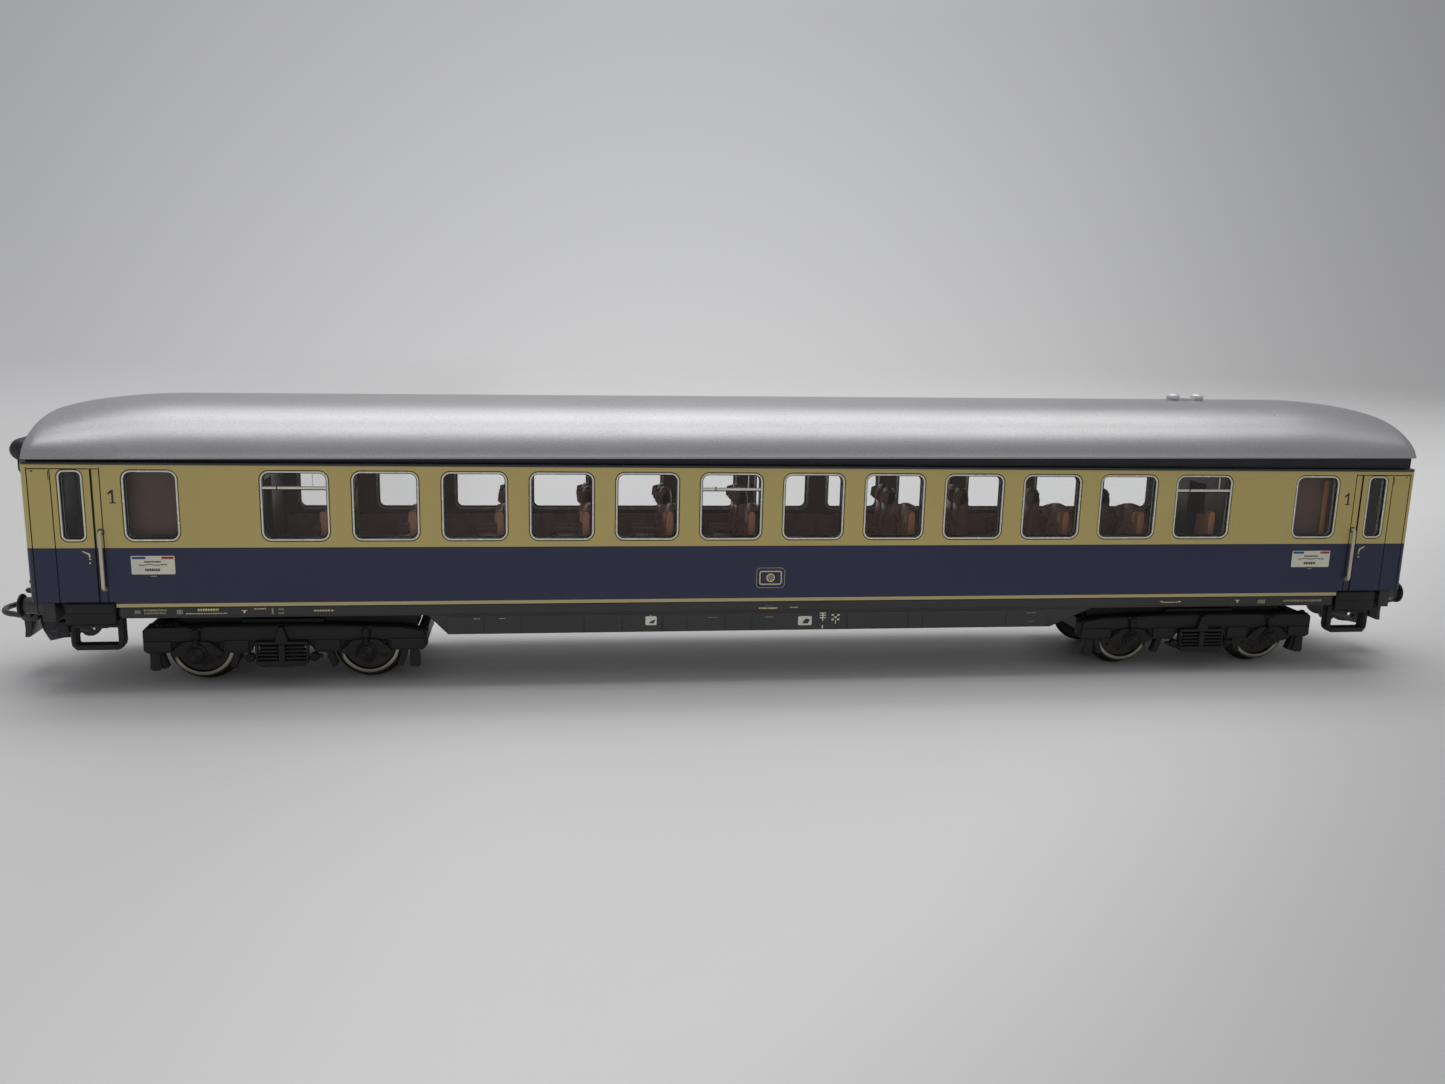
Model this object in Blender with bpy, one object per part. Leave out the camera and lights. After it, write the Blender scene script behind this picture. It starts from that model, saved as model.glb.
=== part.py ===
"""Model passenger coach, H0 scale, as separate moulded, pressed and turned pieces.

Lengths below are millimetres. X runs along the coach, Y across it and Z up.
The origin is under the middle of the coach, at the bottom of the wheel flanges.
The near side is -Y. The geometry is written to the scene in metres.
"""

import math

import bmesh
import bpy
from mathutils import Matrix, Vector

MM = 0.001

# ------------------------------------------------------------------ body shell
BODY_HALF_L = 118.5
BODY_HALF_W = 15.5
BODY_TOP = 37.85
BODY_BOTTOM = 14.5
BODY_END_BOTTOM = 15.4  # the side is cut higher over the entrance steps
BODY_END_FROM = 105.6
SIDE_WALL = 1.2
END_WALL = 1.5
CORNER_R = 1.1
CORNER_STEPS = 3
GUTTER_OUT = 0.25
GUTTER_LOW = 37.45

# ------------------------------------------------------------------ windows
WIN_COUNT = 12
WIN_PITCH = 14.11
WIN_FIRST = -82.98
WIN_W = 10.83
WIN_Z0 = 25.1
WIN_Z1 = 36.75
WIN_R = 1.6
TOILET_OUT = 103.74
TOILET_W = 8.63
DOORWIN_OUT = 113.16
DOORWIN_W = 4.01
DOORWIN_Z0 = 25.1
PANE_GAP = 0.16
PANE_RECESS = 0.12
GLAZE_T = 1.0
GAP = 0.3

# ------------------------------------------------------------------ side doors
DOOR_OUT_X = 114.3
DOOR_IN_X = 108.0
DOOR_LINE_W = 0.3
DOOR_LINE_D = 0.35
DOOR_LINE_TOP = 36.98

# ------------------------------------------------------------------ end doorway
END_DOOR_HALF = 4.2
END_DOOR_Z0 = 17.0
END_DOOR_Z1 = 33.6

# ------------------------------------------------------------------ roof
ROOF_EDGE_Z = 38.25
ROOF_HALF_W = 15.9
ROOF_RISE = 8.95
ROOF_END_RISE = 5.9
ROOF_HALF_L = 118.8
ROOF_DOME_FROM = 98.0
ROOF_T = 1.0
ROOF_TILT = 1.7 / 237.0  # the roof is sprung up at the right-hand end
ROOF_ARC_STEPS = 16
ROOF_STATIONS = (98.0, 103.5, 108.0, 111.5, 114.2, 116.2, 117.6, 118.4, 118.8)
VENT_X = (78.2, 82.9)
VENT_R = 1.25
VENT_H = 1.05

# ------------------------------------------------------------------ underframe
FLOOR_Z0 = 13.2
FLOOR_Z1 = 14.2
END_FLOOR_Z1 = 15.1
SOLE_HALF_L = 105.2
SOLE_OUT = 15.3
SOLE_IN = 14.0
SOLE_Z = 12.6
SKIRT_Z = 9.24
SKIRT_LEFT_TOP = -57.3
SKIRT_LEFT_LOW = -54.0
SKIRT_RIGHT_LOW = 51.0
SKIRT_RIGHT_TOP = 58.6
HEAD_X0 = 115.2
HEAD_X1 = 117.2
HEAD_Z0 = 12.0
BOSS_R = 4.5
BOSS_Z = 11.8

# ------------------------------------------------------------------ running gear
BOGIE_X = 81.0
WHEELBASE = 26.93
FLANGE_R = 6.25
TREAD_R = 5.3
WHEEL_IN = 7.05  # half the back-to-back distance
WHEEL_OUT = 9.9
WHEEL_SIDES = 20
AXLE_R = 1.0
AXLE_END = 12.6
JOURNAL_R = 0.8
ROUND_10 = math.cos(math.pi / 10)  # a ten-sided hole is this much narrower across its flats
ROUND_12 = math.cos(math.pi / 12)
RUNNING = 0.05  # radial clearance of a running fit
PIVOT_R = 1.25
BOGIE_OUT = 21.8
BOGIE_IN = 23.5

# ------------------------------------------------------------------ ends
BUFFER_Y = 10.0
BUFFER_Z = 13.6
BUFFER_FACE = 122.2
COUPLER_PIVOT_X = 109.0
BOW_PIN_X = 123.35
BOW_PIN_Z = 10.3
BOW_TIP = 129.35
BOW_HALF_W = 4.5
BOW_WIRE = 0.9
RIVET_R = 0.7
HANDRAIL_X = 107.15

# ------------------------------------------------------------------ seats
SEAT_PILLARS_FAR = (-70.55, -56.44, -42.33, -28.22, -14.11, 0.0, 28.22, 42.33, 56.44, 70.55)
SEAT_PILLARS_NEAR = (-70.55, -56.44, -42.33, -28.22, -14.11, 0.0, 28.22, 56.44, 70.55)
SEAT_TOP = 30.4
SEAT_BACK = (-3.4, -0.9)
CUSHION_REACH = -8.6
CUSHION_TOP = 21.2
AISLE = 3.5
SEAT_WINDOW_Y = 11.6
TUB_HALF_W = 12.7
TUB_FLOOR = (16.0, 16.8)
TUB_WALL_TOP = 24.6


# ================================================================== helpers
for old in list(bpy.data.objects):
    bpy.data.objects.remove(old, do_unlink=True)

scene = bpy.context.scene
scene.unit_settings.system = "METRIC"
scene.unit_settings.scale_length = 1.0
coach = bpy.data.collections.new("passenger_coach")
scene.collection.children.link(coach)


def add_mesh(name, points, faces):
    data = bpy.data.meshes.new(name)
    data.from_pydata([tuple(c * MM for c in p) for p in points], [], faces)
    data.update()
    work = bmesh.new()
    work.from_mesh(data)
    bmesh.ops.recalc_face_normals(work, faces=work.faces)
    work.to_mesh(data)
    work.free()
    obj = bpy.data.objects.new(name, data)
    coach.objects.link(obj)
    return obj


def box(name, x0, x1, y0, y1, z0, z1):
    xs, ys, zs = sorted((x0, x1)), sorted((y0, y1)), sorted((z0, z1))
    points = [(x, y, z) for x in xs for y in ys for z in zs]
    faces = [(0, 1, 3, 2), (4, 6, 7, 5), (0, 4, 5, 1), (2, 3, 7, 6), (0, 2, 6, 4), (1, 5, 7, 3)]
    return add_mesh(name, points, faces)


def prism(name, outline, axis, a0, a1):
    """Closed prism: the outline holds the two other coordinates, in axis order."""
    n = len(outline)
    points = []
    for a in (a0, a1):
        for u, v in outline:
            points.append({"x": (a, u, v), "y": (u, a, v), "z": (u, v, a)}[axis])
    faces = [tuple(range(n)), tuple(range(2 * n - 1, n - 1, -1))]
    faces += [(i, (i + 1) % n, n + (i + 1) % n, n + i) for i in range(n)]
    return add_mesh(name, points, faces)


def lathe(name, profile, sides, axis, centre, phase=0.0):
    """Solid of revolution from a closed ring profile of (radius, along) pairs, none on the axis."""
    n = len(profile)
    points, faces = [], []
    for s in range(sides):
        t = 2 * math.pi * (s + phase) / sides
        for r, a in profile:
            u, v = r * math.cos(t), r * math.sin(t)
            local = {"x": (a, u, v), "y": (u, a, v), "z": (u, v, a)}[axis]
            points.append(tuple(c + d for c, d in zip(centre, local)))
    for s in range(sides):
        q = (s + 1) % sides
        for i in range(n):
            j = (i + 1) % n
            faces.append((s * n + i, s * n + j, q * n + j, q * n + i))
    return add_mesh(name, points, faces)


def turned(name, profile, sides, axis, centre, phase=0.0):
    """Solid of revolution whose profile of (radius, along) pairs starts and ends with a flat disc."""
    points, faces = [], []
    n = len(profile)
    for r, a in profile:
        for s in range(sides):
            t = 2 * math.pi * (s + phase) / sides
            u, v = r * math.cos(t), r * math.sin(t)
            local = {"x": (a, u, v), "y": (u, a, v), "z": (u, v, a)}[axis]
            points.append(tuple(c + d for c, d in zip(centre, local)))
    faces.append(tuple(range(sides)))
    faces.append(tuple((n - 1) * sides + s for s in reversed(range(sides))))
    for i in range(n - 1):
        for s in range(sides):
            q = (s + 1) % sides
            faces.append((i * sides + s, i * sides + q, (i + 1) * sides + q, (i + 1) * sides + s))
    return add_mesh(name, points, faces)


def cylinder(name, radius, a0, a1, sides, axis, centre, phase=0.0):
    return turned(name, [(radius, a0), (radius, a1)], sides, axis, centre, phase)


def join(name, objects):
    """One object holding every given mesh, which must not touch each other."""
    work = bmesh.new()
    for obj in objects:
        work.from_mesh(obj.data)
    data = bpy.data.meshes.new(name)
    work.to_mesh(data)
    work.free()
    for obj in objects:
        bpy.data.objects.remove(obj, do_unlink=True)
    obj = bpy.data.objects.new(name, data)
    coach.objects.link(obj)
    return obj


def combine(target, others, operation):
    """Applies one exact Boolean after another and keeps the result as the target's own mesh."""
    for other in others:
        modifier = target.modifiers.new("step", "BOOLEAN")
        modifier.operation = operation
        modifier.solver = "EXACT"
        modifier.object = other
        bpy.context.view_layer.update()
        graph = bpy.context.evaluated_depsgraph_get()
        made = bpy.data.meshes.new_from_object(target.evaluated_get(graph))
        target.modifiers.clear()
        target.data = made
        bpy.data.objects.remove(other, do_unlink=True)
    target.data.name = target.name
    return target


def cut(target, *others):
    return combine(target, others, "DIFFERENCE")


def unite(target, *others):
    return combine(target, others, "UNION")


def copy_of(source, name, matrix):
    data = source.data.copy()
    data.name = name
    data.transform(matrix)
    if matrix.determinant() < 0:
        data.flip_normals()
    obj = bpy.data.objects.new(name, data)
    coach.objects.link(obj)
    return obj


def origin_at(obj, x, y, z):
    """Moves the object's origin to a point of the world, leaving its shape where it is."""
    place = Vector((x * MM, y * MM, z * MM))
    obj.data.transform(Matrix.Translation(-place))
    obj.location = place


def rounded(u0, u1, v0, v1, radius, steps):
    """A rectangle's outline with round corners, anticlockwise."""
    outline = []
    for cu, cv, start in (
        (u1 - radius, v0 + radius, -90),
        (u1 - radius, v1 - radius, 0),
        (u0 + radius, v1 - radius, 90),
        (u0 + radius, v0 + radius, 180),
    ):
        for s in range(steps + 1):
            t = math.radians(start + 90 * s / steps)
            outline.append((cu + radius * math.cos(t), cv + radius * math.sin(t)))
    return outline


MIRROR_X = Matrix.Scale(-1, 4, (1, 0, 0))
MIRROR_Y = Matrix.Scale(-1, 4, (0, 1, 0))


def window_boxes():
    """(x0, x1, z0, z1) of every window of one side."""
    found = [
        (WIN_FIRST + WIN_PITCH * i, WIN_FIRST + WIN_PITCH * i + WIN_W, WIN_Z0, WIN_Z1)
        for i in range(WIN_COUNT)
    ]
    for outer, width, z0 in ((TOILET_OUT, TOILET_W, WIN_Z0), (DOORWIN_OUT, DOORWIN_W, DOORWIN_Z0)):
        found.append((-outer, -outer + width, z0, WIN_Z1))
        found.append((outer - width, outer, z0, WIN_Z1))
    return found


def corner_of(box_):
    return min(WIN_R, (box_[1] - box_[0]) * 0.3)


# ================================================================== body shell
shell = prism(
    "body_shell",
    rounded(-BODY_HALF_L, BODY_HALF_L, -BODY_HALF_W, BODY_HALF_W, CORNER_R, CORNER_STEPS),
    "z",
    BODY_BOTTOM,
    BODY_TOP,
)
gutters = [
    box("g", -BODY_HALF_L + 1.5, BODY_HALF_L - 1.5, s * (BODY_HALF_W - 0.4), s * (BODY_HALF_W + GUTTER_OUT), GUTTER_LOW, BODY_TOP)
    for s in (-1, 1)
]
unite(shell, *gutters)
cut(
    shell,
    box("c", -BODY_HALF_L + END_WALL, BODY_HALF_L - END_WALL, -BODY_HALF_W + SIDE_WALL, BODY_HALF_W - SIDE_WALL, 10, 42),
)
cut(
    shell,
    join("c", [box("c", s * BODY_END_FROM, s * 130, -30, 30, 10, BODY_END_BOTTOM) for s in (-1, 1)]),
)
openings = []
for w in window_boxes():
    openings.append(prism("c", rounded(*w, corner_of(w), 2), "y", -20, 20))
cut(shell, join("c", openings))
cut(shell, box("c", -130, 130, -END_DOOR_HALF, END_DOOR_HALF, END_DOOR_Z0, END_DOOR_Z1))
lines = []
for sx in (-1, 1):
    for sy in (-1, 1):
        inner = sy * (BODY_HALF_W - DOOR_LINE_D)
        out = sy * 17
        for x in (DOOR_OUT_X, DOOR_IN_X):
            lines.append(
                box("c", sx * (x - DOOR_LINE_W / 2), sx * (x + DOOR_LINE_W / 2), inner, out, 10, DOOR_LINE_TOP)
            )
        lines.append(
            box(
                "c",
                sx * (DOOR_IN_X + DOOR_LINE_W / 2 + 0.2),
                sx * (DOOR_OUT_X - DOOR_LINE_W / 2 - 0.2),
                inner,
                out,
                DOOR_LINE_TOP - DOOR_LINE_W,
                DOOR_LINE_TOP,
            )
        )
cut(shell, join("c", lines))

# ================================================================== glazing
for side, name in ((-1, "glazing_near"), (1, "glazing_far")):
    back = side * (BODY_HALF_W - SIDE_WALL - GAP - GLAZE_T)
    front = side * (BODY_HALF_W - SIDE_WALL - GAP)
    strip = box(name, -116.5, 116.5, back, front, WIN_Z0 - 1.6, BODY_TOP - 0.3)
    panes = []
    for w in window_boxes():
        inset = (w[0] + PANE_GAP, w[1] - PANE_GAP, w[2] + PANE_GAP, w[3] - PANE_GAP)
        panes.append(
            prism(
                "p",
                rounded(*inset, corner_of(w) - 0.1, 2),
                "y",
                side * (BODY_HALF_W - SIDE_WALL - GAP - 0.5),
                side * (BODY_HALF_W - PANE_RECESS),
            )
        )
    unite(strip, join("p", panes))

# ================================================================== underframe
frame = box("underframe", -SOLE_HALF_L, SOLE_HALF_L, -SOLE_OUT, SOLE_OUT, FLOOR_Z0, FLOOR_Z1)
sole = [
    (-SOLE_HALF_L, SOLE_Z),
    (SKIRT_LEFT_TOP, SOLE_Z),
    (SKIRT_LEFT_LOW, SKIRT_Z),
    (SKIRT_RIGHT_LOW, SKIRT_Z),
    (SKIRT_RIGHT_TOP, SOLE_Z),
    (SOLE_HALF_L, SOLE_Z),
    (SOLE_HALF_L, FLOOR_Z1),
    (-SOLE_HALF_L, FLOOR_Z1),
]
for s in (-1, 1):
    unite(frame, prism("u", sole, "y", s * SOLE_IN, s * SOLE_OUT))
for s in (-1, 1):
    unite(
        frame,
        box("u", s * (SOLE_HALF_L - 1), s * HEAD_X1, -11.9, 11.9, FLOOR_Z0, FLOOR_Z1),
        box("u", s * (BODY_END_FROM + 0.4), s * HEAD_X1, -11.9, 11.9, FLOOR_Z0 + 0.2, END_FLOOR_Z1),
        box("u", s * HEAD_X0, s * HEAD_X1, -14.4, 14.4, HEAD_Z0, END_FLOOR_Z1),
        cylinder("u", BOSS_R, BOSS_Z, FLOOR_Z0 + 0.3, 16, "z", (s * BOGIE_X, 0, 0)),
        cylinder("u", 2.2, 12.4, FLOOR_Z0 + 0.3, 12, "z", (s * COUPLER_PIVOT_X, 0, 0)),
    )
    cut(
        frame,
        cylinder("c", 1.45, 8, 13.9, 10, "z", (s * BOGIE_X, 0, 0)),
        cylinder("c", 0.85, 8, 13.9, 8, "z", (s * COUPLER_PIVOT_X, 0, 0)),
    )
    cut(
        frame,
        cylinder("c", 1.0, HEAD_X0 - 3, HEAD_X1 + 3, 10, "x", (0 if s > 0 else -2 * HEAD_X0 - (HEAD_X1 - HEAD_X0), BUFFER_Y, BUFFER_Z)),
        cylinder("c", 1.0, HEAD_X0 - 3, HEAD_X1 + 3, 10, "x", (0 if s > 0 else -2 * HEAD_X0 - (HEAD_X1 - HEAD_X0), -BUFFER_Y, BUFFER_Z)),
    )

# ================================================================== buffers
buffer_profile = [
    (0.8, HEAD_X0 - 2.2),
    (0.8, HEAD_X1 + 0.15),
    (1.5, HEAD_X1 + 0.15),
    (1.5, HEAD_X1 + 2.0),
    (1.15, HEAD_X1 + 2.05),
    (1.15, BUFFER_FACE - 0.65),
    (1.9, BUFFER_FACE - 0.6),
    (1.9, BUFFER_FACE - 0.2),
    (1.3, BUFFER_FACE),
]
buffer_right_near = turned("buffer_right_near", buffer_profile, 12, "x", (0, -BUFFER_Y, BUFFER_Z))
copy_of(buffer_right_near, "buffer_right_far", MIRROR_Y)
copy_of(buffer_right_near, "buffer_left_near", MIRROR_X)
copy_of(buffer_right_near, "buffer_left_far", MIRROR_X @ MIRROR_Y)

# ================================================================== entrance steps
step = box("entry_step_right_near", 105.9, 113.5, -15.35, -12.3, 11.4, 15.1)
cut(step, prism("c", [(-15.0, 11.0), (-10.0, 11.0), (-10.0, 13.4)], "x", 100, 120))
bracket = prism("u", [(105.9, 7.2), (112.6, 7.2), (113.3, 7.9), (113.3, 12.0), (105.9, 12.0)], "y", -15.1, -13.5)
cut(bracket, box("c", 107.0, 112.1, -20, -10, 8.6, 11.0))
unite(step, bracket, box("u", 106.0, 113.0, -15.0, -12.7, 7.3, 8.1))
copy_of(step, "entry_step_right_far", MIRROR_Y)
copy_of(step, "entry_step_left_near", MIRROR_X)
copy_of(step, "entry_step_left_far", MIRROR_X @ MIRROR_Y)

# ================================================================== handrails
rail = prism(
    "handrail_right_near",
    [(-16.6, 17.4), (-15.53, 17.4), (-15.53, 17.95), (-16.1, 17.95), (-16.1, 26.25), (-15.53, 26.25), (-15.53, 26.8), (-16.6, 26.8)],
    "x",
    HANDRAIL_X - 0.35,
    HANDRAIL_X + 0.35,
)
copy_of(rail, "handrail_right_far", MIRROR_Y)
copy_of(rail, "handrail_left_near", MIRROR_X)
copy_of(rail, "handrail_left_far", MIRROR_X @ MIRROR_Y)

# ================================================================== gangways
gangway = box("gangway_right", 118.8, 122.2, -6.6, 6.6, 16.4, 38.2)
cut(gangway, box("c", 110, 130, -END_DOOR_HALF - 0.2, END_DOOR_HALF + 0.2, 10, 34.4))
roll = turned("u", [(1.45, -6.0), (1.85, -5.2), (1.85, 5.2), (1.45, 6.0)], 14, "y", (121.9, 0, 38.35))
unite(gangway, roll)
cut(gangway, box("c", 110, 119.2, -20, 20, 37.9, 50))
copy_of(gangway, "gangway_left", MIRROR_X)

# ================================================================== end doors
leaf = box("end_door_right", 117.25, 118.05, -3.9, 3.9, END_DOOR_Z0 + 0.3, END_DOOR_Z1 - 0.3)
cut(leaf, box("c", 117.75, 119, -2.6, 2.6, 19.0, 24.0), box("c", 117.75, 119, -2.6, 2.6, 25.6, 31.6))
unite(leaf, box("u", 117.9, 118.45, 3.0, 3.4, 24.0, 25.6))
copy_of(leaf, "end_door_left", MIRROR_X)

# ================================================================== interior
tub = box("interior_floor", -84.4, 84.4, -TUB_HALF_W, TUB_HALF_W, *TUB_FLOOR)
unite(
    tub,
    box("u", -84.4, 84.4, TUB_HALF_W - 0.8, TUB_HALF_W, 16.2, TUB_WALL_TOP),
    box("u", -84.4, 84.4, -TUB_HALF_W + 0.8, -TUB_HALF_W, 16.2, TUB_WALL_TOP - 0.6),
)
for name, pillars, side in (("seats_far", SEAT_PILLARS_FAR, 1), ("seats_near", SEAT_PILLARS_NEAR, -1)):
    low = TUB_FLOOR[1] + GAP
    seats = []
    for p in pillars:
        profile = [
            (p + SEAT_BACK[1], low),
            (p + SEAT_BACK[1], SEAT_TOP - 1.2),
            (p + SEAT_BACK[1] - 0.9, SEAT_TOP),
            (p + SEAT_BACK[0] + 0.5, SEAT_TOP),
            (p + SEAT_BACK[0], SEAT_TOP - 0.8),
            (p + SEAT_BACK[0] - 0.5, CUSHION_TOP + 0.4),
            (p + CUSHION_REACH, CUSHION_TOP),
            (p + CUSHION_REACH, low),
        ]
        seats.append(prism("u", profile, "y", side * AISLE, side * SEAT_WINDOW_Y))
    first, last = pillars[0] + CUSHION_REACH, pillars[-1] + SEAT_BACK[1]
    row = box(name, first + 0.3, last - 0.3, side * (AISLE + 0.2), side * (SEAT_WINDOW_Y - 0.2), low + 0.15, low + 0.9)
    unite(row, join("u", seats))

block = box("toilet_block_right", 85.0, 105.3, -12.5, 12.5, 15.4, 35.8)
cut(
    block,
    box("c", 85.9, 104.4, -11.7, 11.7, 10, 40),
    box("c", 80, 110, -3.0, 3.0, 10, 33.0),
)
copy_of(block, "toilet_block_left", MIRROR_X)

box("ballast_weight", -60, 60, -10.5, 10.5, 14.5, 15.7)

# ================================================================== roof


def roof_rise(x):
    t = max(0.0, (abs(x) - ROOF_DOME_FROM) / (ROOF_HALF_L - ROOF_DOME_FROM))
    return ROOF_END_RISE + (ROOF_RISE - ROOF_END_RISE) * math.sqrt(max(0.0, 1 - t * t))


def roof_half_width(x):
    t = max(0.0, (abs(x) - (ROOF_HALF_L - 1.6)) / 1.6)
    return ROOF_HALF_W - 1.0 * (1 - math.sqrt(max(0.0, 1 - t * t)))


def roof_lift(x):
    return (x + BODY_HALF_L) * ROOF_TILT


def roof_section(x, inset, drop):
    """Outline (y, z) of the roof at x: a circular arc over its two edges, closed by a flat bottom."""
    half = roof_half_width(x) - inset
    rise = roof_rise(x) - inset
    radius = (half * half + rise * rise) / (2 * rise)
    reach = math.asin(min(1.0, half / radius))
    base = ROOF_EDGE_Z + roof_lift(x)
    outline = [(-half, base - drop)] if drop else []
    for s in range(ROOF_ARC_STEPS + 1):
        t = -reach + 2 * reach * s / ROOF_ARC_STEPS
        outline.append((radius * math.sin(t), base + rise - radius + radius * math.cos(t)))
    if drop:
        outline.append((half, base - drop))
    return outline


def loft(name, stations, inset, drop, shrink):
    points, faces = [], []
    for x in stations:
        at = x if abs(x) < ROOF_HALF_L - shrink else math.copysign(ROOF_HALF_L - shrink, x)
        points += [(at, y, z) for y, z in roof_section(x, inset, drop)]
    n = len(roof_section(0, inset, drop))
    for i in range(len(stations) - 1):
        for j in range(n):
            k = (j + 1) % n
            faces.append((i * n + j, i * n + k, (i + 1) * n + k, (i + 1) * n + j))
    faces.append(tuple(range(n)))
    faces.append(tuple((len(stations) - 1) * n + j for j in reversed(range(n))))
    return add_mesh(name, points, faces)


stations = [-x for x in reversed(ROOF_STATIONS)] + list(ROOF_STATIONS)
roof = loft("roof_shell", stations, 0.0, 0.0, 0.0)
inner_stations = [x for x in stations if abs(x) < ROOF_HALF_L - 1.0]
cut(roof, loft("c", inner_stations, ROOF_T, 3.0, 0.0))

ring = box("roof_inner_frame", -116.3, 116.3, -12.7, 12.7, 36.6, ROOF_EDGE_Z + 1.15)
cut(ring, box("c", -115.1, 115.1, -11.6, 11.6, 30, 42))
for vertex in ring.data.vertices:
    vertex.co.z += roof_lift(vertex.co.x / MM) * MM
feet = []
for x in (-100.0, -50.0, 0.0, 50.0, 100.0):
    for s in (-1, 1):
        low = 37.2 + roof_lift(x)
        top = ROOF_EDGE_Z + roof_lift(x) + 1.6
        feet.append(box("u", x - 3, x + 3, s * 11.7, s * 12.6, low, top))
unite(ring, join("u", feet))

apex = ROOF_EDGE_Z + ROOF_RISE
vents = box(
    "roof_vents",
    VENT_X[0] - 0.9,
    VENT_X[1] + 0.9,
    -0.85,
    0.85,
    apex + roof_lift(VENT_X[1]) + 0.06,
    apex + roof_lift(VENT_X[1]) + 0.42,
)
for x in VENT_X:
    low = apex + roof_lift(VENT_X[1]) + 0.06
    unite(
        vents,
        turned("u", [(VENT_R, low), (VENT_R, low + 0.45), (VENT_R - 0.3, low + 0.85), (VENT_R - 0.75, low + VENT_H)], 10, "z", (x, 0, 0)),
    )

# ================================================================== bogies
bogie = box("bogie_frame_right", -6.6, 6.6, -12.0, 12.0, 9.6, 11.4)
side_outline = [
    (-BOGIE_IN, 7.2),
    (-BOGIE_IN + 0.9, 6.2),
    (-17.6, 6.2),
    (-16.6, 4.6),
    (-10.4, 4.6),
    (-9.2, 6.4),
    (-5.0, 6.4),
    (-4.0, 4.3),
    (4.0, 4.3),
    (5.0, 6.4),
    (9.2, 6.4),
    (10.4, 4.6),
    (16.6, 4.6),
    (17.6, 6.2),
    (BOGIE_OUT - 0.9, 6.2),
    (BOGIE_OUT, 7.2),
    (BOGIE_OUT, 9.6),
    (BOGIE_OUT - 1.0, 10.6),
    (-BOGIE_IN + 1.0, 10.6),
    (-BOGIE_IN, 9.6),
]
for s in (-1, 1):
    unite(bogie, prism("u", side_outline, "y", s * 11.3, s * 13.4))
unite(
    bogie,
    box("u", -BOGIE_IN, -BOGIE_IN + 1.6, -11.8, 11.8, 7.6, 9.9),
    box("u", BOGIE_OUT - 1.6, BOGIE_OUT, -11.8, 11.8, 7.6, 9.9),
)
trim = []
for s in (-1, 1):
    for x in (-WHEELBASE / 2, WHEELBASE / 2):
        trim.append(box("u", x - 2.3, x + 2.3, s * 13.0, s * 14.2, 5.0, 8.1))
        trim.append(box("u", x - 0.9, x + 0.9, s * 13.0, s * 13.9, 8.5, 10.2))
    trim.append(box("u", -3.4, 3.4, s * 13.0, s * 14.3, 4.7, 6.9))
    trim.append(box("u", -2.2, 2.2, s * 13.0, s * 14.0, 7.3, 10.2))
unite(bogie, join("u", trim))
shoes = []
for s in (-1, 1):
    for x in (-21.0, 19.9):
        shoes.append(box("u", x - 0.8, x + 0.8, s * 11.5, s * 12.7, 3.0, 6.9))
unite(bogie, join("u", shoes))
bearings = []
for s in (-1, 1):
    for x in (-WHEELBASE / 2, WHEELBASE / 2):
        bearings.append(cylinder("c", (JOURNAL_R + RUNNING) / ROUND_10, s * 10.0, s * (AXLE_END + 0.3), 10, "y", (x, 0, FLANGE_R)))
cut(bogie, join("c", bearings))
cut(bogie, cylinder("c", (PIVOT_R + RUNNING) / ROUND_12, 5, 15, 12, "z", (0, 0, 0)))
MOVE_RIGHT = Matrix.Translation((BOGIE_X * MM, 0, 0))
MOVE_LEFT = Matrix.Translation((-BOGIE_X * MM, 0, 0)) @ MIRROR_X
copy_of(bogie, "bogie_frame_left", MOVE_LEFT)
bogie.data.transform(MOVE_RIGHT)
for name, s in (("bogie_frame_left", -1), ("bogie_frame_right", 1)):
    origin_at(bpy.data.objects[name], s * BOGIE_X, 0, 10.5)

screw = turned(
    "pivot_screw_right",
    [(2.6, 7.7), (2.9, 8.1), (2.9, 9.3), (PIVOT_R, 9.33), (PIVOT_R, 13.7)],
    12,
    "z",
    (BOGIE_X, 0, 0),
)
copy_of(screw, "pivot_screw_left", MIRROR_X)

# ================================================================== wheelsets
wheel_profile = [
    (AXLE_R + 0.1, WHEEL_IN),
    (FLANGE_R, WHEEL_IN),
    (FLANGE_R, WHEEL_IN + 0.6),
    (TREAD_R + 0.05, WHEEL_IN + 0.95),
    (TREAD_R - 0.1, WHEEL_OUT),
    (AXLE_R + 0.1, WHEEL_OUT),
]
axle_profile = [
    (0.35, -AXLE_END),
    (JOURNAL_R, -AXLE_END + 0.4),
    (JOURNAL_R, -AXLE_END + 1.5),
    (AXLE_R, -AXLE_END + 1.7),
    (AXLE_R, AXLE_END - 1.7),
    (JOURNAL_R, AXLE_END - 1.5),
    (JOURNAL_R, AXLE_END - 0.4),
    (0.35, AXLE_END),
]
axles = (-BOGIE_X - WHEELBASE / 2, -BOGIE_X + WHEELBASE / 2, BOGIE_X - WHEELBASE / 2, BOGIE_X + WHEELBASE / 2)
for number, x in enumerate(axles, 1):
    centre = (x, 0, FLANGE_R)
    made = [turned(f"axle_{number}", axle_profile, 10, "y", centre)]
    near = lathe(f"wheel_{number}_near", [(r, -a) for r, a in wheel_profile], WHEEL_SIDES, "y", centre, 0.5)
    far = lathe(f"wheel_{number}_far", wheel_profile, WHEEL_SIDES, "y", centre, 0.5)
    for obj in made + [near, far]:
        origin_at(obj, *centre)

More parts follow.
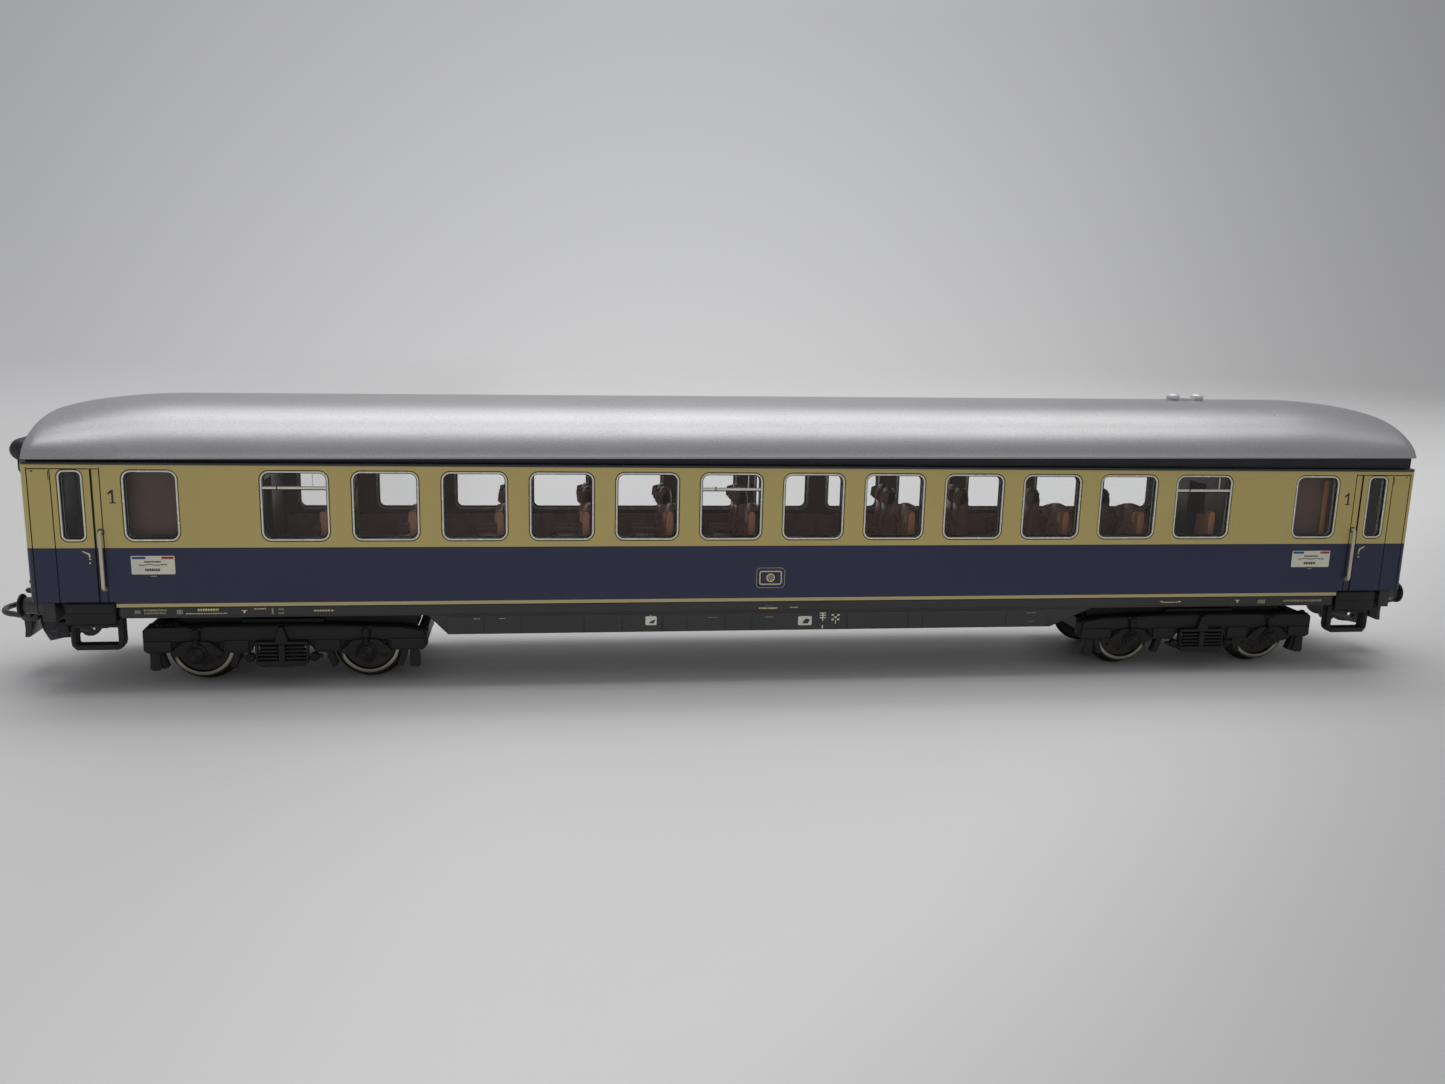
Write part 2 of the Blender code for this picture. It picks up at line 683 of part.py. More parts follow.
# ================================================================== couplers
arm = box("coupler_arm_right", COUPLER_PIVOT_X - 2.4, 123.1, -1.9, 1.9, 10.4, 11.7)
plate = prism(
    "u",
    [
        (111.0, 11.2),
        (111.0, 8.1),
        (112.3, 7.0),
        (113.4, 6.85),
        (114.2, 6.0),
        (115.2, 5.7),
        (116.4, 6.1),
        (117.2, 5.7),
        (119.5, 5.4),
        (121.8, 4.9),
        (122.7, 6.7),
        (123.0, 8.2),
        (123.0, 11.2),
    ],
    "y",
    -0.6,
    0.6,
)
cut(plate, cylinder("c", 0.7, -3, 3, 10, "y", (119.95, 0, 6.9)), cylinder("c", 0.35, -3, 3, 8, "y", (114.76, 0, 6.9)))
unite(arm, plate)
unite(
    arm,
    prism("u", [(122.35, 11.9), (122.35, 9.2), (123.35, 9.0), (124.95, 9.2), (124.95, 11.3), (123.95, 12.0)], "y", -3.3, 3.3),
    prism("u", [(123.5, 9.6), (123.6, 7.5), (124.0, 6.0), (124.9, 6.1), (124.75, 7.6), (124.85, 9.6)], "y", -2.6, 2.6),
    prism("u", [(122.7, 11.4), (123.8, 11.4), (123.8, 13.1), (124.9, 13.4), (125.1, 14.0), (124.0, 14.1), (122.9, 13.7)], "y", -0.55, 0.55),
)
cut(
    arm,
    cylinder("c", (BOW_WIRE * math.sqrt(0.5) + RUNNING) / ROUND_10, -9, 9, 10, "y", (BOW_PIN_X, 0, BOW_PIN_Z)),
    cylinder("c", (RIVET_R + RUNNING) / ROUND_10, 5, 16, 10, "z", (COUPLER_PIVOT_X, 0, 0)),
)
copy_of(arm, "coupler_arm_left", MIRROR_X)
origin_at(arm, COUPLER_PIVOT_X, 0, 11.3)
origin_at(bpy.data.objects["coupler_arm_left"], -COUPLER_PIVOT_X, 0, 11.3)

w = BOW_WIRE / 2
bow = prism(
    "coupler_bow_right",
    [(BOW_PIN_X - w, -BOW_HALF_W), (BOW_TIP - 1.8, -BOW_HALF_W), (BOW_TIP, -BOW_HALF_W + 2.2), (BOW_TIP, BOW_HALF_W - 2.2), (BOW_TIP - 1.8, BOW_HALF_W), (BOW_PIN_X - w, BOW_HALF_W)],
    "z",
    BOW_PIN_Z - w,
    BOW_PIN_Z + w,
)
cut(
    bow,
    prism(
        "c",
        [
            (BOW_PIN_X + w, -BOW_HALF_W + 0.9),
            (BOW_TIP - 2.2, -BOW_HALF_W + 0.9),
            (BOW_TIP - 0.9, -BOW_HALF_W + 2.5),
            (BOW_TIP - 0.9, BOW_HALF_W - 2.5),
            (BOW_TIP - 2.2, BOW_HALF_W - 0.9),
            (BOW_PIN_X + w, BOW_HALF_W - 0.9),
        ],
        "z",
        BOW_PIN_Z - 3,
        BOW_PIN_Z + 3,
    ),
)
copy_of(bow, "coupler_bow_left", MIRROR_X)
origin_at(bow, BOW_PIN_X, 0, BOW_PIN_Z)
origin_at(bpy.data.objects["coupler_bow_left"], -BOW_PIN_X, 0, BOW_PIN_Z)

rivet = turned(
    "coupler_rivet_right",
    [(1.2, 9.75), (1.6, 9.95), (1.6, 10.15), (RIVET_R, 10.18), (RIVET_R, 13.6)],
    10,
    "z",
    (COUPLER_PIVOT_X, 0, 0),
)
copy_of(rivet, "coupler_rivet_left", MIRROR_X)

# ================================================================== materials
FINISH = {
    "body_shell": ((0.33, 0.28, 0.13, 1), 0.0, 0.35),
    "underframe": ((0.03, 0.03, 0.032, 1), 0.0, 0.5),
    "glazing": ((0.8, 0.85, 0.85, 1), 0.0, 0.05),
    "interior": ((0.06, 0.035, 0.025, 1), 0.0, 0.5),
    "seats": ((0.08, 0.045, 0.03, 1), 0.0, 0.5),
    "toilet": ((0.07, 0.04, 0.028, 1), 0.0, 0.5),
    "ballast": ((0.4, 0.4, 0.4, 1), 1.0, 0.4),
    "buffer": ((0.02, 0.02, 0.022, 1), 0.0, 0.4),
    "entry": ((0.02, 0.02, 0.022, 1), 0.0, 0.5),
    "handrail": ((0.6, 0.58, 0.5, 1), 1.0, 0.35),
    "gangway": ((0.025, 0.025, 0.03, 1), 0.0, 0.6),
    "end_door": ((0.05, 0.055, 0.1, 1), 0.0, 0.4),
    "roof_shell": ((0.6, 0.6, 0.61, 1), 0.6, 0.35),
    "roof_inner": ((0.02, 0.02, 0.02, 1), 0.0, 0.5),
    "roof_vents": ((0.6, 0.6, 0.61, 1), 0.6, 0.35),
    "bogie": ((0.02, 0.02, 0.02, 1), 0.0, 0.5),
    "pivot": ((0.5, 0.5, 0.5, 1), 1.0, 0.35),
    "wheel": ((0.3, 0.28, 0.25, 1), 1.0, 0.35),
    "axle": ((0.4, 0.4, 0.4, 1), 1.0, 0.3),
    "coupler": ((0.08, 0.08, 0.09, 1), 0.8, 0.4),
}
ROUND = ("wheel", "axle", "buffer", "pivot", "roof", "coupler_rivet")
for obj in sorted(coach.objects, key=lambda o: o.name):
    finish = next(v for k, v in FINISH.items() if obj.name.startswith(k))
    material = bpy.data.materials.new("m_" + obj.name)
    material.use_nodes = True
    shader = material.node_tree.nodes["Principled BSDF"]
    shader.inputs["Base Color"].default_value = finish[0]
    shader.inputs["Metallic"].default_value = finish[1]
    shader.inputs["Roughness"].default_value = finish[2]
    material.diffuse_color = finish[0]
    obj.data.materials.clear()
    obj.data.materials.append(material)
    for polygon in obj.data.polygons:
        polygon.use_smooth = False
        polygon.material_index = 0
    if obj.name.startswith(ROUND):
        obj.data.shade_smooth()
        obj.data.set_sharp_from_angle(angle=math.radians(32))
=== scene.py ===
import math
import random

import bmesh
import bpy
from mathutils import Matrix, Vector


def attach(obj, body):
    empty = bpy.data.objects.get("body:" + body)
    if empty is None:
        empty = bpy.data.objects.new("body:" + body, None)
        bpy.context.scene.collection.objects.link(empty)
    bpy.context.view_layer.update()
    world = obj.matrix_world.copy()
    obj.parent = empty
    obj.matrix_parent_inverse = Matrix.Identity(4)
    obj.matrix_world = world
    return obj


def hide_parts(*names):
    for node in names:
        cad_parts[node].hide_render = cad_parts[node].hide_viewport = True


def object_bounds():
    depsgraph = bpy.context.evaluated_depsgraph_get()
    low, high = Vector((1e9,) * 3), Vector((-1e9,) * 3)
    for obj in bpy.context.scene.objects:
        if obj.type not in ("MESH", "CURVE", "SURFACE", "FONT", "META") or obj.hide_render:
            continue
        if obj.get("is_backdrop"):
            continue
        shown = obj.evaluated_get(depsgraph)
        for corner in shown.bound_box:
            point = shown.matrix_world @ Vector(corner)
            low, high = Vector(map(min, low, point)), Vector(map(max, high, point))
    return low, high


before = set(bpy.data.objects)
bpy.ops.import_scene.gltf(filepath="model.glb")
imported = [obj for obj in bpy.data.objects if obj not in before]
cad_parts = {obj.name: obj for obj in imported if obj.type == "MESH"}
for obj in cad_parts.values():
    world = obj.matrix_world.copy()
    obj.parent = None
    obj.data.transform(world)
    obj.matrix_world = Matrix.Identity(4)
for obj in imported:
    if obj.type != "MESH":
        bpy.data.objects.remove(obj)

MM = 0.001
cad_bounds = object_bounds()
random.seed(7)

# ------------------------------------------------------------------ sizes, mm, as in the CAD
HALF_L, HALF_W = 118.5, 15.5
WIN_Z0, WIN_Z1, WIN_R = 25.1, 36.75, 1.6
BAND_Z, STRIPE_Z = 24.2, 15.07
WIN = [(-82.98 + 14.11 * i, -82.98 + 14.11 * i + 10.83) for i in range(12)]
TOILET = [(-103.74, -95.11), (95.11, 103.74)]
DOORWIN = [(-113.16, -109.15), (109.15, 113.16)]
ALL_WIN = WIN + TOILET + DOORWIN
BOGIE_X, AXLE_X, WHEEL_Z = 81.0, 13.465, 6.25


def lift(x):
    return (x + HALF_L) * 1.7 / 237.0


# ------------------------------------------------------------------ node materials
def nodes_of(name):
    m = bpy.data.materials.new(name)
    m.use_nodes = True
    nt = m.node_tree
    b = nt.nodes["Principled BSDF"]
    return m, nt, b


def N(nt, kind, **kw):
    n = nt.nodes.new(kind)
    for k, v in kw.items():
        if k in n.inputs:
            n.inputs[k].default_value = v
        else:
            setattr(n, k, v)
    return n


def material(name, colour, rough=0.45, metal=0.0, ior=1.5, coat=0.0, coat_rough=0.15, spec=0.5,
             var=0.10, scale=90.0, rough_var=0.08, bump=0.06, grain=2600.0, speck=0.0, speck_scale=9000.0,
             wear=0.0, wear_colour=(0.5, 0.5, 0.5), stretch=(1, 1, 1), two=None):
    """A painted or moulded surface: broad tone change, fine grain in colour and height, uneven gloss and optional worn edges."""
    m, nt, b = nodes_of(name)
    L = nt.links.new
    co = N(nt, "ShaderNodeTexCoord")
    mp = N(nt, "ShaderNodeMapping")
    mp.inputs["Scale"].default_value = stretch
    L(co.outputs["Object"], mp.inputs["Vector"])
    broad = N(nt, "ShaderNodeTexNoise", Scale=scale, Detail=4.0, Roughness=0.55)
    L(mp.outputs[0], broad.inputs["Vector"])
    ramp = N(nt, "ShaderNodeValToRGB")
    lo = [c * (1 - var) for c in colour]
    hi = [min(1, c * (1 + var)) for c in (two or colour)]
    ramp.color_ramp.elements[0].position, ramp.color_ramp.elements[1].position = 0.3, 0.7
    ramp.color_ramp.elements[0].color, ramp.color_ramp.elements[1].color = (*lo, 1), (*hi, 1)
    L(broad.outputs["Fac"], ramp.inputs["Fac"])
    out = ramp.outputs["Color"]
    if speck:
        fine = N(nt, "ShaderNodeTexNoise", Scale=speck_scale, Detail=1.0)
        L(mp.outputs[0], fine.inputs["Vector"])
        r2 = N(nt, "ShaderNodeMapRange")
        r2.inputs["From Min"].default_value, r2.inputs["From Max"].default_value = 0.3, 0.7
        r2.inputs["To Min"].default_value, r2.inputs["To Max"].default_value = 1 - speck, 1 + speck
        L(fine.outputs["Fac"], r2.inputs["Value"])
        mul = N(nt, "ShaderNodeVectorMath", operation="MULTIPLY")
        L(out, mul.inputs[0])
        L(r2.outputs[0], mul.inputs[1])
        out = mul.outputs[0]
    if wear:
        geo = N(nt, "ShaderNodeNewGeometry")
        edge = N(nt, "ShaderNodeMapRange")
        edge.inputs["From Min"].default_value, edge.inputs["From Max"].default_value = 0.52, 0.62
        edge.inputs["To Max"].default_value = wear
        L(geo.outputs["Pointiness"], edge.inputs["Value"])
        mix = N(nt, "ShaderNodeMixRGB")
        mix.inputs["Color2"].default_value = (*wear_colour, 1)
        L(edge.outputs[0], mix.inputs["Fac"])
        L(out, mix.inputs["Color1"])
        out = mix.outputs[0]
    L(out, b.inputs["Base Color"])
    rn = N(nt, "ShaderNodeTexNoise", Scale=scale * 2.3, Detail=3.0)
    L(mp.outputs[0], rn.inputs["Vector"])
    rr_ = N(nt, "ShaderNodeMapRange")
    rr_.inputs["To Min"].default_value, rr_.inputs["To Max"].default_value = max(0.02, rough - rough_var), min(1, rough + rough_var)
    L(rn.outputs["Fac"], rr_.inputs["Value"])
    L(rr_.outputs[0], b.inputs["Roughness"])
    if bump:
        gn = N(nt, "ShaderNodeTexNoise", Scale=grain, Detail=2.0)
        L(mp.outputs[0], gn.inputs["Vector"])
        bp = N(nt, "ShaderNodeBump", Strength=bump, Distance=0.00005)
        L(gn.outputs["Fac"], bp.inputs["Height"])
        L(bp.outputs[0], b.inputs["Normal"])
    b.inputs["Metallic"].default_value = metal
    b.inputs["IOR"].default_value = ior
    b.inputs["Specular IOR Level"].default_value = spec
    b.inputs["Coat Weight"].default_value = coat
    b.inputs["Coat Roughness"].default_value = coat_rough
    return m


def clear_material(name, tint=(0.995, 0.996, 0.995), rough=0.03):
    """Thin clear moulded pane: it shows what is behind it and mirrors more towards grazing angles, with faint smears."""
    m, nt, b = nodes_of(name)
    nt.nodes.remove(b)
    L = nt.links.new
    out = nt.nodes["Material Output"]
    co = N(nt, "ShaderNodeTexCoord")
    no = N(nt, "ShaderNodeTexNoise", Scale=420.0, Detail=3.0)
    L(co.outputs["Object"], no.inputs["Vector"])
    rg = N(nt, "ShaderNodeMapRange")
    rg.inputs["To Min"].default_value, rg.inputs["To Max"].default_value = rough, rough + 0.10
    L(no.outputs["Fac"], rg.inputs["Value"])
    fr = N(nt, "ShaderNodeFresnel", IOR=1.45)
    tr = N(nt, "ShaderNodeBsdfTransparent")
    tr.inputs["Color"].default_value = (*tint, 1)
    gl = N(nt, "ShaderNodeBsdfGlossy")
    gl.inputs["Color"].default_value = (0.95, 0.97, 0.97, 1)
    L(rg.outputs[0], gl.inputs["Roughness"])
    mx = N(nt, "ShaderNodeMixShader")
    half = N(nt, "ShaderNodeMath", operation="MULTIPLY")
    half.inputs[1].default_value = 0.42
    L(fr.outputs[0], half.inputs[0])
    L(half.outputs[0], mx.inputs[0])
    L(tr.outputs[0], mx.inputs[1])
    L(gl.outputs[0], mx.inputs[2])
    haze = N(nt, "ShaderNodeBsdfDiffuse")
    haze.inputs["Color"].default_value = (0.9, 0.86, 0.80, 1)
    dust = N(nt, "ShaderNodeMapRange")
    dust.inputs["To Min"].default_value, dust.inputs["To Max"].default_value = 0.006, 0.015
    L(no.outputs["Fac"], dust.inputs["Value"])
    veil = N(nt, "ShaderNodeMixShader")
    L(dust.outputs[0], veil.inputs[0])
    L(mx.outputs[0], veil.inputs[1])
    L(haze.outputs[0], veil.inputs[2])
    L(veil.outputs[0], out.inputs["Surface"])
    return m


CREAM = material("cream_paint", (0.652, 0.520, 0.182), rough=0.42, coat=0.12, coat_rough=0.3, var=0.035, scale=35, bump=0.10, grain=3500, speck=0.03)
BLUE = material("blue_paint", (0.0215, 0.0265, 0.078), rough=0.42, coat=0.06, coat_rough=0.3, var=0.06, scale=35, bump=0.10, grain=3500, speck=0.05)
STRIPE = material("stripe_paint", (0.62, 0.52, 0.25), rough=0.42, var=0.05, scale=60, bump=0.05)
GUTTER = material("gutter_paint", (0.045, 0.05, 0.065), rough=0.4, var=0.08, scale=60, bump=0.05)
GROOVE = material("door_gap_shadow", (0.05, 0.042, 0.035), rough=0.7, var=0.15, scale=200, bump=0.05)
LINING = material("inner_lining", (0.20, 0.115, 0.09), rough=0.45, var=0.12, scale=120, bump=0.08)
SILVER = material("silver_roof_paint", (0.455, 0.452, 0.458), rough=0.285, metal=0.62, var=0.025, scale=45, bump=0.16, grain=2400, speck=0.06, speck_scale=3000, rough_var=0.03)
SILVER_VENT = material("vent_paint", (0.78, 0.79, 0.80), rough=0.35, metal=0.35, var=0.03, scale=300, bump=0.08)
ROOF_IN = material("roof_inside_plastic", (0.03, 0.03, 0.032), rough=0.6, var=0.1)
ROOF_COLLAR = material("roof_collar_plastic", (0.022, 0.023, 0.027), rough=0.55, var=0.12, scale=140, bump=0.10)
RIM = material("window_frame_silver", (0.90, 0.88, 0.76), rough=0.26, metal=0.35, var=0.06, scale=260, bump=0.10, grain=1800, wear=0.0)
# painted shade: near-black rings stand for the shaded gaps round the window frames, and dark strips stand for the shade
# under the bars
WINDOW_GAP_SHADE = material("window_gap_painted_shade", (0.018, 0.015, 0.013), rough=0.6, var=0.1, scale=300)
CLEAR = clear_material("clear_pane")
CHASSIS = material("chassis_plastic", (0.0245, 0.0245, 0.0245), rough=0.48, spec=0.42, var=0.12, scale=110, bump=0.14, grain=3000, wear=0.35, wear_colour=(0.10, 0.10, 0.10))
BOGIE = material("bogie_plastic", (0.0060, 0.0060, 0.0064), rough=0.48, spec=0.26, var=0.18, scale=160, bump=0.16, grain=2800, wear=0.35, wear_colour=(0.05, 0.05, 0.05))
BLACK = material("black_plastic", (0.0085, 0.0085, 0.0095), spec=0.32, rough=0.42, var=0.15, scale=160, bump=0.12, wear=0.35, wear_colour=(0.06, 0.06, 0.06))
BROWN = material("brown_seat_plastic", (0.47, 0.215, 0.140), rough=0.28, var=0.14, scale=170, bump=0.12, grain=2200, wear=0.2, wear_colour=(0.48, 0.27, 0.20))
TAN = material("tan_wood_print", (0.50, 0.20, 0.085), rough=0.38, var=0.14, scale=300, bump=0.10, stretch=(1, 1, 0.15))
TOILET_BROWN = material("compartment_wall", (0.125, 0.058, 0.032), rough=0.42, var=0.16, scale=80, bump=0.08, stretch=(1, 1, 0.3))
FLOOR_BROWN = material("carpet_floor", (0.18, 0.10, 0.08), rough=0.7, var=0.12, scale=500, bump=0.2)
RUBBER = material("gangway_rubber", (0.020, 0.020, 0.026), rough=0.50, var=0.15, scale=200, bump=0.20, grain=2000, wear=0.3, wear_colour=(0.06, 0.06, 0.07))
NICKEL = material("wheel_dark_nickel", (0.42, 0.385, 0.31), rough=0.30, metal=1.0, var=0.14, scale=220, bump=0.05, stretch=(1, 1, 1))
# painted shade: the tread and flange are coloured much darker than the bare metal, for the shade under the bogie frame
TYRE_SHADE = material("wheel_tyre_painted_shade", (0.060, 0.056, 0.050), rough=0.34, metal=0.9, var=0.2, scale=240, bump=0.06)
WHEEL_WEB = material("wheel_web_grey_brown", (0.046, 0.042, 0.036), rough=0.42, metal=0.5, var=0.35, scale=420, bump=0.10)
WHEEL_FACE = material("wheel_face_black", (0.025, 0.023, 0.021), rough=0.40, metal=0.3, var=0.2, scale=240, bump=0.10)
STEEL = material("bright_steel", (0.52, 0.52, 0.53), rough=0.28, metal=1.0, var=0.08, scale=300, bump=0.05)
GUNMETAL = material("buffer_gunmetal", (0.10, 0.095, 0.088), rough=0.38, metal=0.7, var=0.15, scale=260, bump=0.10, wear=0.3, wear_colour=(0.25, 0.24, 0.22))
COUPLER = material("coupler_dark_metal", (0.040, 0.040, 0.046), rough=0.40, metal=0.55, var=0.15, scale=220, bump=0.12, wear=0.4, wear_colour=(0.16, 0.16, 0.17))
BOW = material("bow_wire_metal", (0.075, 0.075, 0.085), rough=0.36, metal=0.7, var=0.12, scale=260, bump=0.06)
BRASS = material("rivet_brass", (0.55, 0.40, 0.16), rough=0.32, metal=1.0, var=0.1, scale=400, bump=0.05)
RAIL = material("handrail_pale_metal", (0.66, 0.63, 0.50), rough=0.34, metal=0.5, var=0.10, scale=300, bump=0.08)
PRINT_DARK = material("print_dark", (0.045, 0.042, 0.06), rough=0.5, var=0.1, scale=500, bump=0.03)
PRINT_PALE = material("print_pale", (0.80, 0.68, 0.38), rough=0.5, var=0.12, scale=900, bump=0.03)
PRINT_DIM = material("print_dim", (0.40, 0.36, 0.25), rough=0.5, var=0.2, scale=900, bump=0.03)
PRINT_WHITE = material("print_white", (0.86, 0.84, 0.69), rough=0.45, var=0.05, scale=500, bump=0.03)
PRINT_BLUE = material("print_blue", (0.04, 0.09, 0.30), rough=0.5, var=0.1, scale=600, bump=0.03)
PRINT_RED = material("print_red", (0.42, 0.05, 0.05), rough=0.5, var=0.1, scale=600, bump=0.03)
END_DOOR = material("end_door_paint", (0.10, 0.105, 0.125), rough=0.4, metal=0.2, var=0.08, scale=120, bump=0.06)


# ------------------------------------------------------------------ mesh building
def rr(x0, x1, z0, z1, r, n=8):
    out = []
    for cu, cv, st in ((x1 - r, z0 + r, -90), (x1 - r, z1 - r, 0), (x0 + r, z1 - r, 90), (x0 + r, z0 + r, 180)):
        for s in range(n + 1):
            t = math.radians(st + 90 * s / n)
            out.append((cu + r * math.cos(t), cv + r * math.sin(t)))
    return out


class G:
    """Collects closed solids in millimetres and makes one mesh of them."""

    def __init__(self):
        self.v, self.f, self.m = [], [], []

    def add(self, pts, faces, m=0):
        o = len(self.v)
        self.v += [tuple(p) for p in pts]
        self.f += [tuple(i + o for i in f) for f in faces]
        self.m += [m] * len(faces)
        return self

    def box(self, x0, x1, y0, y1, z0, z1, m=0):
        p = [(x, y, z) for x in sorted((x0, x1)) for y in sorted((y0, y1)) for z in sorted((z0, z1))]
        return self.add(p, [(0, 1, 3, 2), (4, 6, 7, 5), (0, 4, 5, 1), (2, 3, 7, 6), (0, 2, 6, 4), (1, 5, 7, 3)], m)

    def prism(self, outline, axis, a0, a1, m=0):
        n = len(outline)
        pts = []
        for a in (a0, a1):
            for u, v in outline:
                pts.append({"x": (a, u, v), "y": (u, a, v), "z": (u, v, a)}[axis])
        f = [tuple(range(n)), tuple(range(2 * n - 1, n - 1, -1))]
        f += [(i, (i + 1) % n, n + (i + 1) % n, n + i) for i in range(n)]
        return self.add(pts, f, m)

    def loops(self, loops, m=0, closed=True, caps=False):
        """Joins loops of equal length; closed joins the last to the first."""
        n = len(loops[0])
        pts = [p for l in loops for p in l]
        f = []
        k = len(loops)
        for i in range(k if closed else k - 1):
            j = (i + 1) % k
            for s in range(n):
                t = (s + 1) % n
                f.append((i * n + s, i * n + t, j * n + t, j * n + s))
        if caps:
            f.append(tuple(range(n)))
            f.append(tuple((k - 1) * n + s for s in reversed(range(n))))
        return self.add(pts, f, m)

    def turn(self, profile, axis, centre, sides=32, m=0, mats=None, ring=False):
        """Turned solid. profile is (radius, along); ends on the axis are closed by a disc, ring closes it on itself."""
        cx, cy, cz = centre
        loops = []
        for r, a in profile:
            l = []
            for s in range(sides):
                t = 2 * math.pi * s / sides
                u, v = r * math.cos(t), r * math.sin(t)
                d = {"x": (a, u, v), "y": (u, a, v), "z": (u, v, a)}[axis]
                l.append((cx + d[0], cy + d[1], cz + d[2]))
            loops.append(l)
        start = len(self.m)
        self.loops(loops, m, closed=ring, caps=not ring)
        if mats:
            k = len(profile) if ring else len(profile) - 1
            for i in range(k):
                for s in range(sides):
                    self.m[start + i * sides + s] = mats[i]
        return self

    def tube(self, path, r, sides=12, m=0, closed=False, flat=1.0):
        """A round bar along a path of points."""
        P = [Vector(p) for p in path]
        k = len(P)
        loops = []
        up = None
        for i in range(k):
            a = P[(i - 1) % k] if closed or i else P[0]
            b = P[(i + 1) % k] if closed or i < k - 1 else P[-1]
            t = (b - a).normalized()
            if up is None:
                up = t.orthogonal().normalized()
            up = (up - t * up.dot(t)).normalized()
            side = t.cross(up)
            loops.append([P[i] + up * math.cos(q) * r + side * math.sin(q) * r * flat for q in (2 * math.pi * s / sides for s in range(sides))])
        return self.loops(loops, m, closed=closed, caps=not closed)

    def moved(self, sx=1, sy=1, dx=0.0):
        g = G()
        g.v = [(p[0] * sx + dx, p[1] * sy, p[2]) for p in self.v]
        g.f, g.m = list(self.f), list(self.m)
        return g

    def join(self, other):
        o = len(self.v)
        self.v += other.v
        self.f += [tuple(i + o for i in f) for f in other.f]
        self.m += other.m
        return self

    def mesh(self, name, mats):
        me = bpy.data.meshes.new(name)
        me.from_pydata([tuple(c * MM for c in p) for p in self.v], [], self.f)
        for mt in mats:
            me.materials.append(mt)
        me.polygons.foreach_set("material_index", self.m)
        bm = bmesh.new()
        bm.from_mesh(me)
        bmesh.ops.recalc_face_normals(bm, faces=bm.faces)
        bm.to_mesh(me)
        bm.free()
        me.update()
        return me


def evaluated(obj):
    bpy.context.view_layer.update()
    me = bpy.data.meshes.new_from_object(obj.evaluated_get(bpy.context.evaluated_depsgraph_get()))
    obj.modifiers.clear()
    old = obj.data
    obj.data = me
    me.name = obj.name
    bpy.data.meshes.remove(old)
    return obj


def link(me, name):
    o = bpy.data.objects.new(name, me)
    bpy.context.scene.collection.objects.link(o)
    return o


def piece(g, name, body, mats, bevel=0.0, seg=2, limit=32, smooth=34, replaces=(), clamp=True):
    o = link(g.mesh(name, mats), name)
    if bevel:
        md = o.modifiers.new("edge", "BEVEL")
        md.width = bevel * MM
        md.segments = seg
        md.limit_method = "ANGLE"
        md.angle_limit = math.radians(limit)
        md.use_clamp_overlap = clamp
        md.harden_normals = False
        evaluated(o)
    finish(o, body, smooth, replaces)
    return o


def finish(o, body, smooth=34, replaces=()):
    o.data.shade_smooth()
    o.data.set_sharp_from_angle(angle=math.radians(smooth))
    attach(o, body)
    if replaces:
        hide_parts(*replaces)
    return o


def boolean(o, cutter, op="DIFFERENCE"):
    md = o.modifiers.new("cut", "BOOLEAN")
    md.operation, md.solver, md.object = op, "EXACT", cutter
    evaluated(o)
    bpy.data.objects.remove(cutter, do_unlink=True)
    return o


# ================================================================== body shell
outer = G().prism(rr(-HALF_L, HALF_L, -HALF_W, HALF_W, 1.1, 8), "z", 14.5, 37.85)
shell = link(outer.mesh("body_side_moulding", [CREAM]), "body_side_moulding")
lip = G()
lip_profile = [(15.1, 37.40), (15.52, 37.44), (15.68, 37.52), (15.75, 37.64), (15.70, 37.77), (15.58, 37.85), (15.1, 37.85)]
for s in (-1, 1):
    lip.prism([(s * y, z) for y, z in lip_profile], "x", -117.2, 117.2)
boolean(shell, link(lip.mesh("c", []), "c"), "UNION")
boolean(shell, link(G().prism(rr(-117.0, 117.0, -14.3, 14.3, 0.6, 4), "z", 10, 42).mesh("c", []), "c"))
ends = G()
for s in (-1, 1):
    ends.box(s * 105.6, s * 130, -30, 30, 10, 15.4)
boolean(shell, link(ends.mesh("c", []), "c"))
cuts = G()
for x0, x1 in ALL_WIN:
    cuts.prism(rr(x0, x1, WIN_Z0, WIN_Z1, min(WIN_R, (x1 - x0) * 0.3), 8), "y", -20, 20)
boolean(shell, link(cuts.mesh("c", []), "c"))
boolean(shell, link(G().prism(rr(-4.2, 4.2, 17.0, 33.6, 0.4, 3), "x", -130, 130).mesh("c", []), "c"))
lines = G()
for sx in (-1, 1):
    for sy in (-1, 1):
        def vline(x, w, d, z0, z1):
            lines.box(sx * (x - w / 2), sx * (x + w / 2), sy * (HALF_W - d), sy * 17, z0, z1)
        vline(108.0, 0.34, 0.35, 10, 36.86)
        vline(113.98, 0.16, 0.25, 10, 36.86)
        vline(117.35, 0.16, 0.25, 10, 37.0)
        vline(106.75, 0.16, 0.25, 10, 37.0)
        lines.box(sx * 106.95, sx * 107.78, sy * (HALF_W - 0.25), sy * 17, 36.70, 36.86)
        lines.box(sx * 108.22, sx * 113.86, sy * (HALF_W - 0.25), sy * 17, 36.70, 36.86)
        lines.box(sx * 114.10, sx * 117.23, sy * (HALF_W - 0.25), sy * 17, 36.70, 36.86)
        vline(114.2, 0.12, 0.2, 35.1, 36.5)
boolean(shell, link(lines.mesh("c", []), "c"))
SHELL_MATS = [CREAM, BLUE, STRIPE, GUTTER, GROOVE, LINING]
shell.data.materials.clear()
for mt in SHELL_MATS:
    shell.data.materials.append(mt)
bm = bmesh.new()
bm.from_mesh(shell.data)
for z in (BAND_Z, STRIPE_Z, 37.42):
    bmesh.ops.bisect_plane(bm, geom=bm.verts[:] + bm.edges[:] + bm.faces[:], plane_co=(0, 0, z * MM), plane_no=(0, 0, 1))
bm.normal_update()
